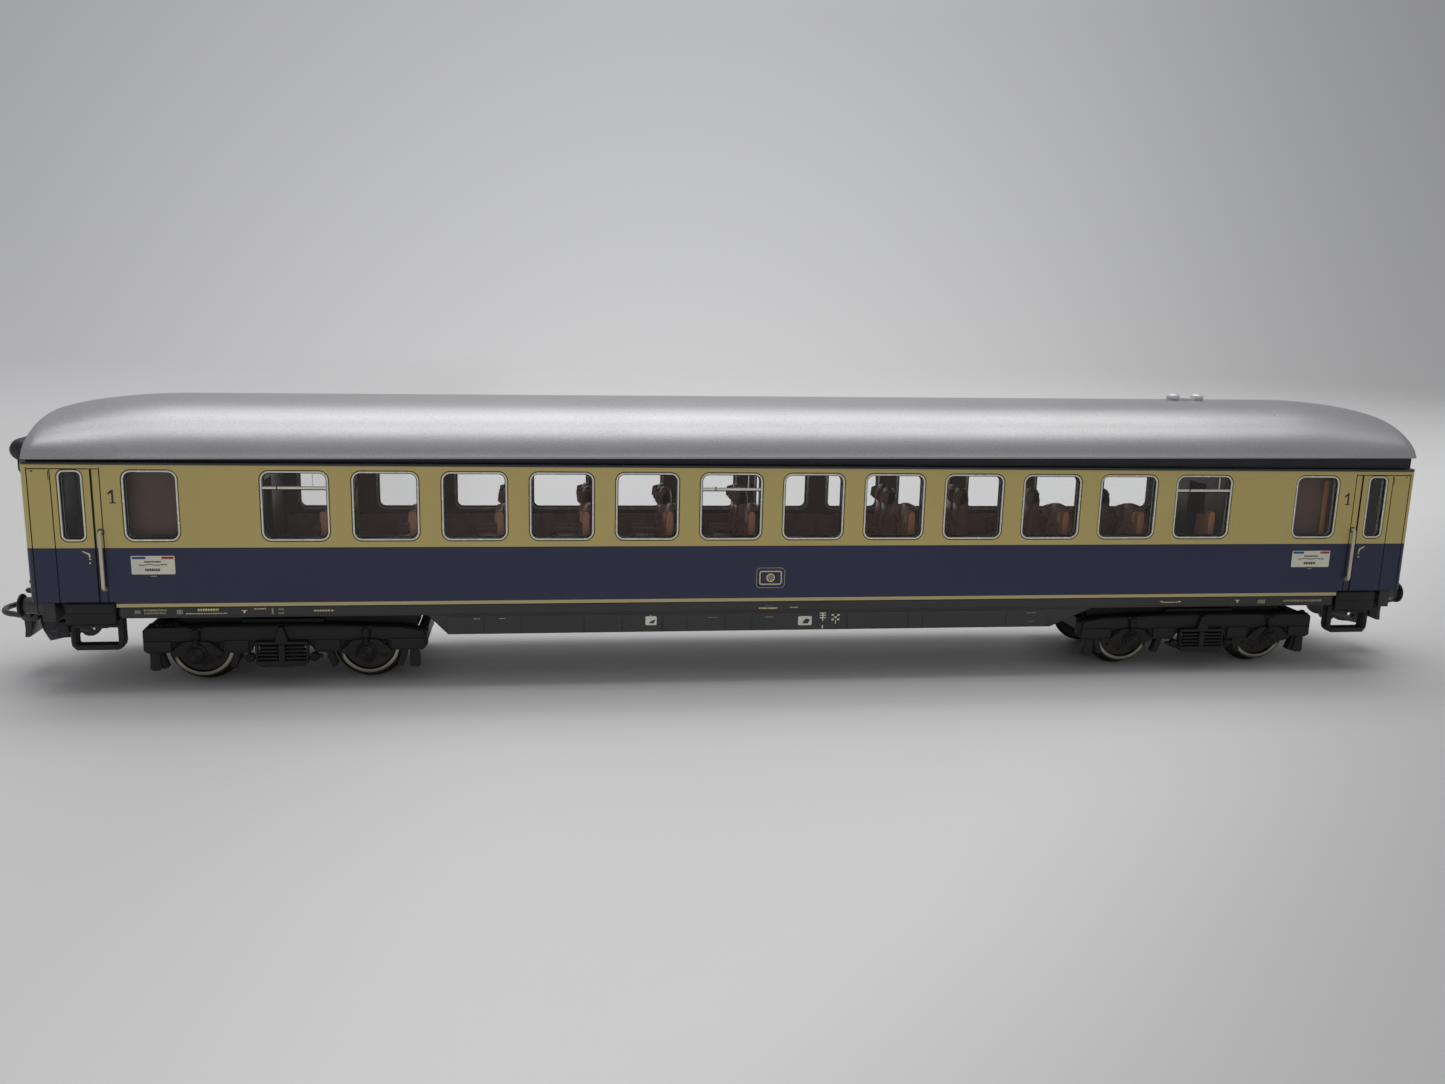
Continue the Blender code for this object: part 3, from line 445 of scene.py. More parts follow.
for f in bm.faces:
    c = f.calc_center_median() / MM
    n = f.normal
    ay, ax = abs(c.y), abs(c.x)
    outside = ay > 15.44 or ax > 118.3 or (ax > 117.1 and ay > 14.1 and abs(n.x) + abs(n.y) > 0.5)
    if c.z > 37.42:
        k = 3
    elif 15.1 < ay <= 15.47 and ax > 106 and ax < 117.44 and (abs(n.y) > 0.9 or abs(n.x) > 0.9 or abs(n.z) > 0.9) and not (ax > 109 and ax < 113.3 and c.z < 36.76 and abs(n.y) < 0.9) and ay < 15.45:
        k = 4
    elif outside or (ay > 14.32 and abs(n.y) < 0.9):
        k = 2 if c.z < STRIPE_Z and ax < 105.6 else (1 if c.z < BAND_Z else 0)
    else:
        k = 5
    f.material_index = k
bm.to_mesh(shell.data)
bm.free()
finish(shell, "coach", 30, ("body_shell",))

# ================================================================== windows
for side, name in ((-1, "near"), (1, "far")):
    frames, gaps, panes, bars = G(), G(), G(), G()

    def loop(w, inset, y, r):
        x0, x1 = w
        return [(x, side * y, z) for x, z in rr(x0 + inset, x1 - inset, WIN_Z0 + inset, WIN_Z1 - inset, max(0.25, r - inset), 8)]
    for i, w in enumerate(ALL_WIN):
        r = min(WIN_R, (w[1] - w[0]) * 0.3)
        frames.loops([loop(w, a, y, r) for a, y in ((0.15, 14.95), (0.15, 15.42), (0.20, 15.51), (0.30, 15.54), (0.40, 15.51), (0.45, 15.42), (0.46, 14.95))])
        # the dark rings in the gaps round each frame are painted shade
        gaps.loops([loop(w, a, y, r) for a, y in ((0.455, 14.9), (0.455, 15.36), (0.56, 15.30), (0.60, 14.9))])
        frames.loops([loop(w, a, y, r) for a, y in ((0.05, 13.98), (0.05, 14.22), (0.42, 14.22), (0.42, 13.98))])
        gaps.loops([loop(w, a, y, r) for a, y in ((0.42, 13.9), (0.42, 14.15), (0.60, 14.15), (0.60, 13.9))])
        gaps.loops([loop(w, a, y, r) for a, y in ((0.01, 14.4), (0.01, 15.30), (0.17, 15.30), (0.17, 14.4))])
        panes.loops([loop(w, 0.58, 15.02, r), loop(w, 0.58, 15.20, r)], closed=False, caps=True)
        if i in (0, 5, 11):
            x0, x1 = w
            bars.prism([(side * 15.15, 33.62), (side * 15.42, 33.68), (side * 15.46, 33.86), (side * 15.42, 34.04), (side * 15.15, 34.10)], "x", x0 + 0.5, x1 - 0.5, 0)
            # material 1 here is painted shade: the dark strip under the bar and the small dark upright
            bars.box(x0 + 0.5, x1 - 0.5, side * 15.2, side * 15.44, 33.50, 33.62, 1)
            xb = x0 + 0.76 * (x1 - x0)
            bars.box(xb - 0.07, xb + 0.07, side * 15.20, side * 15.34, 34.1, WIN_Z1 - 0.55, 0)
            xb = x0 + 0.25 * (x1 - x0)
            bars.box(xb - 0.09, xb + 0.09, side * 15.20, side * 15.50, 33.55, 34.25, 1)
    piece(frames, f"window_frames_{name}", "coach", [RIM], smooth=50)
    piece(gaps, f"window_gaps_{name}", "coach", [WINDOW_GAP_SHADE], smooth=40)
    piece(panes, f"window_panes_{name}", "coach", [CLEAR], smooth=30, replaces=(f"glazing_{name}",))
    piece(bars, f"window_bars_{name}", "coach", [RIM, WINDOW_GAP_SHADE], bevel=0.03, smooth=40)

# ================================================================== roof
BEAD_H = 0.62
BEAD = [(0.0, 0.0), (0.06, 0.05), (0.01, 0.16), (-0.14, 0.36)]
ROOF_TIP, DOME_X, SHOULDER_X = 118.25, 97.0, 99.0


def end_fall(x):
    """0 until shortly before the tip of the roof, then a quarter round to 1."""
    u = min(1.0, max(0.0, (abs(x) - (ROOF_TIP - 1.8)) / 1.8))
    return 1 - math.sqrt(max(0.0, 1 - u ** 2))


def roof_rise(x):
    t = min(1.0, max(0.0, (abs(x) - DOME_X) / (ROOF_TIP - DOME_X)))
    return 5.66 + 3.29 * max(0.0, 1 - t ** 1.8) ** 0.62 - 0.9 * end_fall(x)


def roof_half(x):
    return 15.9 - 1.0 * end_fall(x)


def roof_loop(x, inset, n=56):
    """One cross-section of the roof skin: an arc, fuller towards the ends, with a small flared bead on the outer skin."""
    x = math.copysign(98.0 + (abs(x) - 98.0) * (ROOF_TIP - 98.0) / 20.8, x) if abs(x) > 98.0 else x
    half, rise = roof_half(x) - inset, roof_rise(x) - inset
    half, rise = max(half, 0.5), max(rise, 0.3)
    radius = (half * half + rise * rise) / (2 * rise)
    base = 38.25 + lift(x)
    w = min(1.0, max(0.0, (abs(x) - SHOULDER_X) / (ROOF_TIP - SHOULDER_X)))
    w = w * w
    if inset:
        reach, edge, n = math.asin(min(1.0, half / radius)), [], n + 2 * len(BEAD)
    else:
        reach = math.acos((radius - rise + BEAD_H) / radius)
        edge = [(x, half + out, base + up) for out, up in BEAD]
    arc = []
    for s in range(n + 1):
        t = -reach + 2 * reach * s / n
        y = radius * math.sin(t)
        round_z = rise - radius + radius * math.cos(t)
        full_z = rise * max(0.0, 1 - abs(y / half) ** 2.38) ** 0.633
        arc.append((x, y, base + round_z * (1 - w) + full_z * w))
    return [(x, -y, z) for x, y, z in edge] + arc + list(reversed(edge))


st = [0, 12, 24, 36, 48, 60, 72, 84, 92, 96, 98, 99.5, 101, 102.5, 104, 105.5, 107, 108.5, 110, 111.2, 112.4, 113.5, 114.5, 115.4, 116.2, 116.9, 117.4, 117.8, 118.15, 118.42, 118.62, 118.74, 118.8]
st = [-x for x in reversed(st[1:])] + st
g = G()
outer_loops = [roof_loop(x, 0.0) for x in st]
n = len(outer_loops[0])
pts, faces, mi = [p for l in outer_loops for p in l], [], []
for i in range(len(st) - 1):
    for j in range(n - 1):
        faces.append((i * n + j, i * n + j + 1, (i + 1) * n + j + 1, (i + 1) * n + j))
        mi.append(0)
ends_at = []
for k, l in ((0, outer_loops[0]), (len(st) - 1, outer_loops[-1])):
    faces.append(tuple(k * n + j for j in range(n)))
    mi.append(0)
inner_st = [x for x in st if abs(x) < 117.9]
inner_loops = []
for x in inner_st:
    xx = x if abs(x) < 117.5 else math.copysign(117.6, x)
    inner_loops.append([(xx, y, z) for _, y, z in roof_loop(x, 1.0)])
o = len(pts)
pts += [p for l in inner_loops for p in l]
for i in range(len(inner_st) - 1):
    for j in range(n - 1):
        faces.append((o + i * n + j, o + (i + 1) * n + j, o + (i + 1) * n + j + 1, o + i * n + j + 1))
        mi.append(1)
for k in (0, len(inner_st) - 1):
    faces.append(tuple(o + k * n + j for j in range(n)))
    mi.append(1)
# the flat rim between the outer and the inner skin
out_ring = [i * n for i in range(len(st))] + [(len(st) - 1) * n + n - 1 - 0 * i for i in range(1)] + [i * n + n - 1 for i in reversed(range(len(st) - 1))]
in_ring = [o + i * n for i in range(len(inner_st))] + [o + (len(inner_st) - 1) * n + n - 1] + [o + i * n + n - 1 for i in reversed(range(len(inner_st) - 1))]
half_o, half_i = len(st), len(inner_st)


def strip(a, b):
    """Triangles between two chains that run the same way in X."""
    i = j = 0
    while i < len(a) - 1 or j < len(b) - 1:
        if j == len(b) - 1 or (i < len(a) - 1 and pts[a[i + 1]][0] <= pts[b[j + 1]][0]):
            faces.append((a[i], a[i + 1], b[j]))
            i += 1
        else:
            faces.append((a[i], b[j + 1], b[j]))
            j += 1
        mi.append(0)


strip([i * n for i in range(half_o)], [o + i * n for i in range(half_i)])
strip([i * n + n - 1 for i in range(half_o)], [o + i * n + n - 1 for i in range(half_i)])
for k, q in ((0, 0), (half_o - 1, half_i - 1)):
    faces.append((k * n, k * n + n - 1, o + q * n + n - 1, o + q * n))
    mi.append(0)
g.v, g.f, g.m = pts, faces, mi
roof = piece(g, "roof_moulding", "roof", [SILVER, ROOF_IN], smooth=48, replaces=("roof_shell",))

g = G()  # dark locating collar inside the body, and the dark step under the rim


def collar(g, x0, x1, y0, y1, z0, rise):
    """A wall whose foot is level and whose top follows the roof edge."""
    pts = [(x, y, z) for x in (x0, x1) for y in (y0, y1) for z in (z0, 38.25 + lift(x) + rise)]
    g.add(pts, [(0, 1, 3, 2), (4, 6, 7, 5), (0, 4, 5, 1), (2, 3, 7, 6), (0, 2, 6, 4), (1, 5, 7, 3)])


for s in (-1, 1):
    y = sorted((s * 11.7, s * 12.7))
    collar(g, -116.3, 116.3, y[0], y[1], 36.6, 1.15)
    y = sorted((s * 14.15, s * 14.75))
    collar(g, -117.6, 117.6, y[0], y[1], 37.93, 0.35)
    x = sorted((s * 115.2, s * 116.3))
    collar(g, x[0], x[1], -11.75, 11.75, 36.6, 1.15)
    x = sorted((s * 116.9, s * 117.6))
    collar(g, x[0], x[1], -14.2, 14.2, 37.93, 0.35)
piece(g, "roof_collar", "roof", [ROOF_COLLAR], bevel=0.05, seg=1, limit=50, smooth=40, replaces=("roof_inner_frame",))

apex = 38.25 + 8.95 + lift(82.9)
g = G()
g.prism(rr(77.0, 84.1, -0.95, 0.95, 0.9, 6), "z", apex - 0.25, apex + 0.34)
for x in (78.2, 82.9):
    g.turn([(1.05, -0.1), (1.22, 0.08), (1.25, 0.45), (1.12, 0.74), (0.82, 0.95), (0.42, 1.05), (0.05, 1.08)], "z", (x, 0, apex + 0.02), 32)
piece(g, "roof_ventilators", "roof", [SILVER_VENT], bevel=0.08, limit=50, smooth=50, replaces=("roof_vents",))

# ================================================================== solebars and skirts
g = G()
g.box(-105.2, 105.2, -14.6, 14.6, 13.2, 14.2)
sole = [(-105.2, 12.6), (-57.3, 12.6), (-54.0, 9.24), (51.0, 9.24), (58.6, 12.6), (105.2, 12.6), (105.2, 14.35), (-105.2, 14.35)]
for s in (-1, 1):
    g.prism(sole, "y", s * 14.0, s * 15.22)
    g.box(-105.2, 105.2, s * 15.0, s * 15.3, 12.62, 12.86)
    g.box(-57.0, 57.8, s * 15.0, s * 15.29, 12.50, 12.66)
    seams = (-54.3, -48.1, -42.0, -31.6, -25.1, -18.3, -14.1, -7.5, -3.0, 13.9, 24.8, 27.4, 42.7, 50.4)
    for a, b in zip(seams[:-1], seams[1:]):
        if b - a > 2.5:
            g.box(a + 0.12, b - 0.12, s * 15.1, s * 15.30, 9.34, 12.36)
for s in (-1, 1):
    g.box(s * 105.0, s * 117.2, -11.9, 11.9, 13.4, 15.1)
    g.box(s * 115.2, s * 117.2, -14.4, 14.4, 12.0, 15.1)
    g.turn([(0.1, 11.8), (4.3, 11.8), (4.5, 12.0), (4.5, 13.4), (0.1, 13.4)], "z", (s * BOGIE_X, 0, 0), 40)
    g.turn([(0.1, 12.4), (2.1, 12.4), (2.2, 12.5), (2.2, 13.4), (0.1, 13.4)], "z", (s * 109.0, 0, 0), 24)
for x in (-44, -30, -12, 8, 26, 40):  # ribs and boxes under the floor
    g.box(x - 0.5, x + 0.5, -13.8, 13.8, 12.2, 13.3)
g.box(-38, -20, -9, 9, 10.9, 13.25)
g.box(4, 22, -9, 9, 10.9, 13.25)
piece(g, "chassis_moulding", "coach", [CHASSIS], bevel=0.06, seg=1, smooth=35, replaces=("underframe",))

# ================================================================== interior
g = G()
g.box(-84.4, 84.4, -12.7, 12.7, 16.0, 16.8, 1)
for s, top in ((1, 24.6), (-1, 24.0)):
    g.box(-84.4, 84.4, s * 11.9, s * 12.7, 16.2, top)
    g.box(-84.4, 84.4, s * 11.7, s * 12.75, top - 0.5, top)
FAR_SEATS = (-70.55, -56.44, -42.33, -28.22, -14.11, 0.0, 28.22, 42.33, 56.44, 70.55)
NEAR_SEATS = (-70.55, -56.44, -42.33, -28.22, -14.11, 0.0, 28.22, 56.44, 70.55)


def seat(g, p, y0, y1, top):
    """One seat: crowned cushion, leaning back and a headrest with side wings."""
    back = [(p - 0.95, 17.1), (p - 0.9, 24.0), (p - 0.95, top - 1.6), (p - 1.3, top - 0.3), (p - 2.0, top), (p - 2.8, top - 0.25),
            (p - 3.3, top - 1.4), (p - 3.1, 26.6), (p - 3.5, 24.6), (p - 3.9, 21.4), (p - 3.9, 17.1)]
    n = 7
    loops = []
    for i in range(n):
        t = i / (n - 1)
        y = y0 + (y1 - y0) * t
        bulge = 0.35 * (1 - math.sin(math.pi * t)) ** 1.5
        loops.append([(x + (bulge * (0.9 if x < p - 2.0 else -0.7)), y, z - (bulge * 1.6 if z > top - 2.0 else 0)) for x, z in back])
    g.loops(loops, 0, closed=False, caps=True)
    cush = [(p - 8.6, 17.1), (p - 8.75, 20.3), (p - 8.3, 21.15), (p - 6.5, 21.45), (p - 4.6, 21.3), (p - 3.7, 21.0), (p - 3.7, 17.1)]
    loops = []
    for i in range(n):
        t = i / (n - 1)
        y = y0 + 0.12 + (y1 - y0 - 0.24) * t
        drop = 0.5 * (1 - math.sin(math.pi * t)) ** 2
        loops.append([(x, y, z - (drop if z > 20 else 0)) for x, z in cush])
    g.loops(loops, 0, closed=False, caps=True)
    for yy in (y0, y1):  # wings and arm rests
        s = 0.35 if yy == y0 else -0.35
        a, b = sorted((yy, yy + s))
        g.prism([(p - 1.5, top - 2.9), (p - 1.3, top - 0.9), (p - 2.0, top - 0.4), (p - 3.9, top - 0.9), (p - 4.1, top - 2.5), (p - 3.3, top - 3.2)], "y", a, b)
        g.box(p - 8.0, p - 3.4, a, b, 23.0, 23.6)
        g.box(p - 7.9, p - 7.4, a, b, 20.8, 23.1)


for p in FAR_SEATS:
    seat(g, p, 3.6, 7.5, 31.0)
    seat(g, p, 7.8, 11.6, 31.0)
    g.box(p - 8.4, p - 1.0, 3.7, 11.5, 17.0, 18.0)
for p in NEAR_SEATS:
    seat(g, p, -11.5, -4.6, 30.2)
    g.box(p - 8.4, p - 1.0, -11.4, -4.7, 17.0, 18.0)
piece(g, "saloon_interior", "coach", [BROWN, FLOOR_BROWN], bevel=0.09, seg=1, smooth=42, replaces=("interior_floor", "seats_near", "seats_far"))
g = G()
for p in NEAR_SEATS + (84.1,):
    g.prism([(p - 2.35, 16.9), (p - 2.35, 29.0), (p - 2.55, 29.6), (p - 3.3, 29.6), (p - 3.55, 29.0), (p - 3.6, 16.9)], "y", -12.88, -11.55)
    g.prism([(p - 3.95, 21.6), (p - 3.45, 28.6), (p - 3.2, 28.6), (p - 3.3, 21.6)], "y", -11.6, -8.4)
for x in (-96.4, 102.4):
    g.box(x, x + 0.9, -12.95, -12.62, 16.2, 35.4)
for p in FAR_SEATS:
    g.prism([(p - 1.75, 16.9), (p - 1.75, 28.6), (p - 2.0, 29.3), (p - 2.7, 29.3), (p - 3.0, 28.6), (p - 3.2, 16.9)], "y", 11.62, 11.85)
piece(g, "seat_end_panels", "coach", [TAN], bevel=0.08, seg=1, smooth=40)
for s, name in ((-1, "left"), (1, "right")):
    g = G()
    for sy in (-1, 1):
        g.box(s * 85.0, s * 85.9, sy * 3.0, sy * 12.5, 15.4, 35.8)
        g.box(s * 104.4, s * 105.3, sy * 3.0, sy * 12.5, 15.4, 35.8)
        g.box(s * 85.9, s * 104.4, sy * 11.7, sy * 12.5, 15.4, 35.8)
        g.box(s * 85.9, s * 104.4, sy * 3.0, sy * 3.6, 15.4, 35.8)
        g.box(s * 94.6, s * 94.9, sy * 12.5, sy * 12.58, 15.6, 35.6)
        g.box(s * 85.2, s * 105.1, sy * 12.5, sy * 12.6, 24.2, 24.45)
    g.box(s * 85.0, s * 105.3, -3.0, 3.0, 33.0, 35.8)
    piece(g, f"compartment_{name}", "coach", [TOILET_BROWN], bevel=0.08, seg=1, smooth=40, replaces=(f"toilet_block_{name}",))

# ================================================================== printing on the sides
def decals(side, rot):
    """Numerals, plates and greeked labels of one side. rot turns them round for the far side."""
    g = G()
    base = 15.5

    def at(x0, x1, z0, z1, m, y=base, t=0.025):
        xs = sorted((x0 * rot, x1 * rot))
        g.box(xs[0], xs[1], side * (y - 0.05), side * (y + t), z0, z1, m)

    def poly(pts, m, y=base, t=0.025):
        g.prism([(x * rot, z) for x, z in pts], "y", side * (y - 0.05), side * (y + t), m)
    DARK, PALE, DIM, WHITE, BLU, RED = range(6)
    for x in (-105.28, 105.3):  # class numerals
        c = x
        poly([(c + 0.12, 31.45), (c + 0.42, 31.45), (c + 0.42, 33.5), (c + 0.14, 33.5), (c - 0.42, 33.02), (c - 0.42, 32.72), (c + 0.12, 32.98)], DARK)
        at(c - 0.18, c + 0.72, 31.33, 31.5, DARK)
    rnd = random.Random(11)
    for x0, x1 in ((-102.95, -96.35), (95.95, 103.35)):  # destination plates: white, corner blocks, scribbled rows
        poly([(x, z) for x, z in rr(x0, x1, 19.9, 22.9, 0.18, 3)], WHITE)
        at(x0 + 0.18, x0 + 2.2, 22.38, 22.78, BLU, t=0.04)
        at(x1 - 1.95, x1 - 0.18, 22.38, 22.78, RED, t=0.04)
        mid = (x0 + x1) / 2
        x = mid - 1.3
        while x < mid + 1.2:
            w = rnd.uniform(0.12, 0.3)
            at(x, x + w, 21.82 + rnd.uniform(-0.04, 0.04), 22.06, DARK, t=0.04)
            x += w + 0.07
        x = x0 + 1.2
        while x < x1 - 1.2:
            w = rnd.uniform(0.15, 0.35)
            z = 21.36 + 0.07 * math.sin((x - x0) * 3.0)
            at(x, x + w, z, z + 0.16, DARK, t=0.04)
            x += w + 0.08
        x = mid - 1.25
        while x < mid + 1.0:
            w = rnd.uniform(0.14, 0.32)
            at(x, x + w, 20.42 + rnd.uniform(-0.03, 0.03), 20.84, DARK, t=0.04)
            x += w + 0.08
        at(mid - 0.45, mid + 0.45, 19.55, 19.62, PALE)
    # a plain emblem: a spoked wheel in a rounded frame
    cx, cz = 0.08, 18.6

    def ring(r0, r1, m, k=28):
        a = [(cx + r1 * math.cos(2 * math.pi * i / k), cz + r1 * math.sin(2 * math.pi * i / k)) for i in range(k)]
        b = [(cx + r0 * math.cos(2 * math.pi * i / k), cz + r0 * math.sin(2 * math.pi * i / k)) for i in range(k)]
        g.loops([[(x * rot, side * y, z) for x, z in l] for l, y in ((a, base - 0.05), (a, base + 0.025), (b, base + 0.025), (b, base - 0.05))], m)

    def frame_ring(hx, hz, r, w, m):
        a, b = rr(cx - hx, cx + hx, cz - hz, cz + hz, r, 6), rr(cx - hx + w, cx + hx - w, cz - hz + w, cz + hz - w, r - w, 6)
        g.loops([[(x * rot, side * y, z) for x, z in l] for l, y in ((a, base - 0.05), (a, base + 0.025), (b, base + 0.025), (b, base - 0.05))], m)
    frame_ring(2.48, 1.78, 0.7, 0.10, DIM)
    frame_ring(1.95, 1.22, 0.42, 0.20, PALE)
    ring(0.52, 0.74, PALE)
    ring(0.02, 0.16, PALE, 12)
    for a in range(0, 180, 45):
        c, s_ = math.cos(math.radians(a)), math.sin(math.radians(a))
        poly([(cx + 0.56 * c - 0.05 * s_, cz + 0.56 * s_ + 0.05 * c), (cx - 0.56 * c - 0.05 * s_, cz - 0.56 * s_ + 0.05 * c),
              (cx - 0.56 * c + 0.05 * s_, cz - 0.56 * s_ - 0.05 * c), (cx + 0.56 * c + 0.05 * s_, cz + 0.56 * s_ - 0.05 * c)], PALE)
    for sx in (-1, 1):  # door lever, its keyhole dots, a lock spot and the lamp spot
        poly([(sx * 110.1, 23.62), (sx * 110.0, 23.74), (sx * 108.95, 23.28), (sx * 108.9, 22.7), (sx * 109.15, 22.7), (sx * 109.2, 23.1)], PALE)
        at(sx * 109.0 - 0.13, sx * 109.0 + 0.13, 22.28, 22.52, PALE)
        at(sx * 109.05 - 0.13, sx * 109.05 + 0.13, 21.64, 21.9, PALE)
        at(sx * 116.55 - 0.14, sx * 116.55 + 0.14, 36.3, 36.52, DARK)
    # greeked labels on the solebar: rows of short strokes, no letters
    y = 15.3

    def row(x0, x1, z0, z1, m, lo=0.14, hi=0.4, gap=0.1):
        x = x0
        while x < x1 - 0.1:
            w = min(rnd.uniform(lo, hi), x1 - x)
            at(x, x + w, z0 + rnd.uniform(0, 0.03), z1 - rnd.uniform(0, 0.03), m, y=y, t=0.02)
            x += w + gap
    for x0, x1, z0, z1, m in (
        (-103.0, -102.0, 13.35, 13.95, DIM), (-101.6, -98.1, 13.75, 14.1, DIM), (-101.6, -98.3, 13.3, 13.6, DIM), (-96.6, -95.7, 13.2, 14.0, DIM),
        (-93.4, -90.2, 13.72, 14.12, PALE), (-95.2, -88.8, 13.2, 13.4, PALE), (-84.7, -82.7, 13.9, 14.1, PALE), (-81.95, -81.6, 13.1, 14.1, DIM),
        (-80.9, -80.1, 13.75, 14.1, DIM), (-80.9, -80.1, 13.1, 13.4, DIM), (-74.9, -72.7, 13.45, 13.75, PALE), (72.0, 74.9, 13.4, 13.6, PALE),
        (90.4, 91.8, 13.1, 13.8, DIM), (95.4, 102.9, 13.35, 13.75, DIM), (-1.75, 1.5, 13.05, 13.35, PALE), (-0.6, 0.7, 13.6, 13.68, DIM), (3.7, 5.2, 13.2, 13.4, PALE),
        (-0.7, 0.9, 11.55, 11.72, DIM), (-10.5, -8.9, 11.62, 11.76, DIM), (-49.8, -48.8, 11.84, 11.98, PALE), (-45.6, -44.5, 11.84, 11.96, PALE), (46.5, 48.2, 11.75, 11.9, DIM), (47.0, 47.8, 10.2, 10.35, DIM)):
        row(x0, x1, z0, z1, m)
    for x0, s_ in ((-75.5, 1), (-72.1, -1), (71.4, 1), (75.5, -1)):  # small arrow heads
        poly([(x0, 13.6), (x0 + s_ * 0.5, 13.42), (x0 + s_ * 0.5, 13.78)], PALE, y=y, t=0.02)
    for x0 in (-86.2, 86.4):
        poly([(x0 - 0.5, 13.8), (x0 + 0.5, 13.8), (x0 + 0.12, 13.55), (x0 + 0.12, 13.3), (x0 - 0.12, 13.3), (x0 - 0.12, 13.55)], PALE, y=y, t=0.02)
    # white symbol panels with dark marks
    poly(rr(-21.2, -19.3, 10.45, 12.0, 0.2, 3), WHITE, y=y, t=0.02)
    poly([(-20.6, 10.75), (-19.8, 10.75), (-19.5, 11.4), (-20.2, 11.2)], DARK, y=y, t=0.035)
    at(-20.4, -20.28, 12.0, 12.25, WHITE, y=y, t=0.02)
    poly(rr(5.2, 7.6, 10.1, 11.7, 0.2, 3), WHITE, y=y, t=0.02)
    poly([(6.0, 10.4), (6.9, 10.4), (7.3, 11.1), (6.6, 11.3), (6.2, 10.9)], DARK, y=y, t=0.035)
    for z0 in (11.3, 11.75, 12.15):
        at(9.0, 10.1, z0, z0 + 0.16, WHITE, y=y, t=0.02)
    at(9.45, 9.65, 10.85, 12.3, WHITE, y=y, t=0.03)
    at(9.45, 9.62, 9.45, 10.1, WHITE, y=y, t=0.02)
    for k in range(3):
        for j in range(3):
            if (k + j) % 2 == 0:
                at(11.1 + k * 0.5, 11.5 + k * 0.5, 10.9 + j * 0.4, 11.2 + j * 0.4, WHITE, y=y, t=0.02)
    at(11.75, 11.9, 10.3, 10.9, WHITE, y=y, t=0.02)
    return g


for side, rot, name in ((-1, 1, "near"), (1, -1, "far")):
    piece(decals(side, rot), f"printed_marks_{name}", "coach", [PRINT_DARK, PRINT_PALE, PRINT_DIM, PRINT_WHITE, PRINT_BLUE, PRINT_RED], smooth=30)

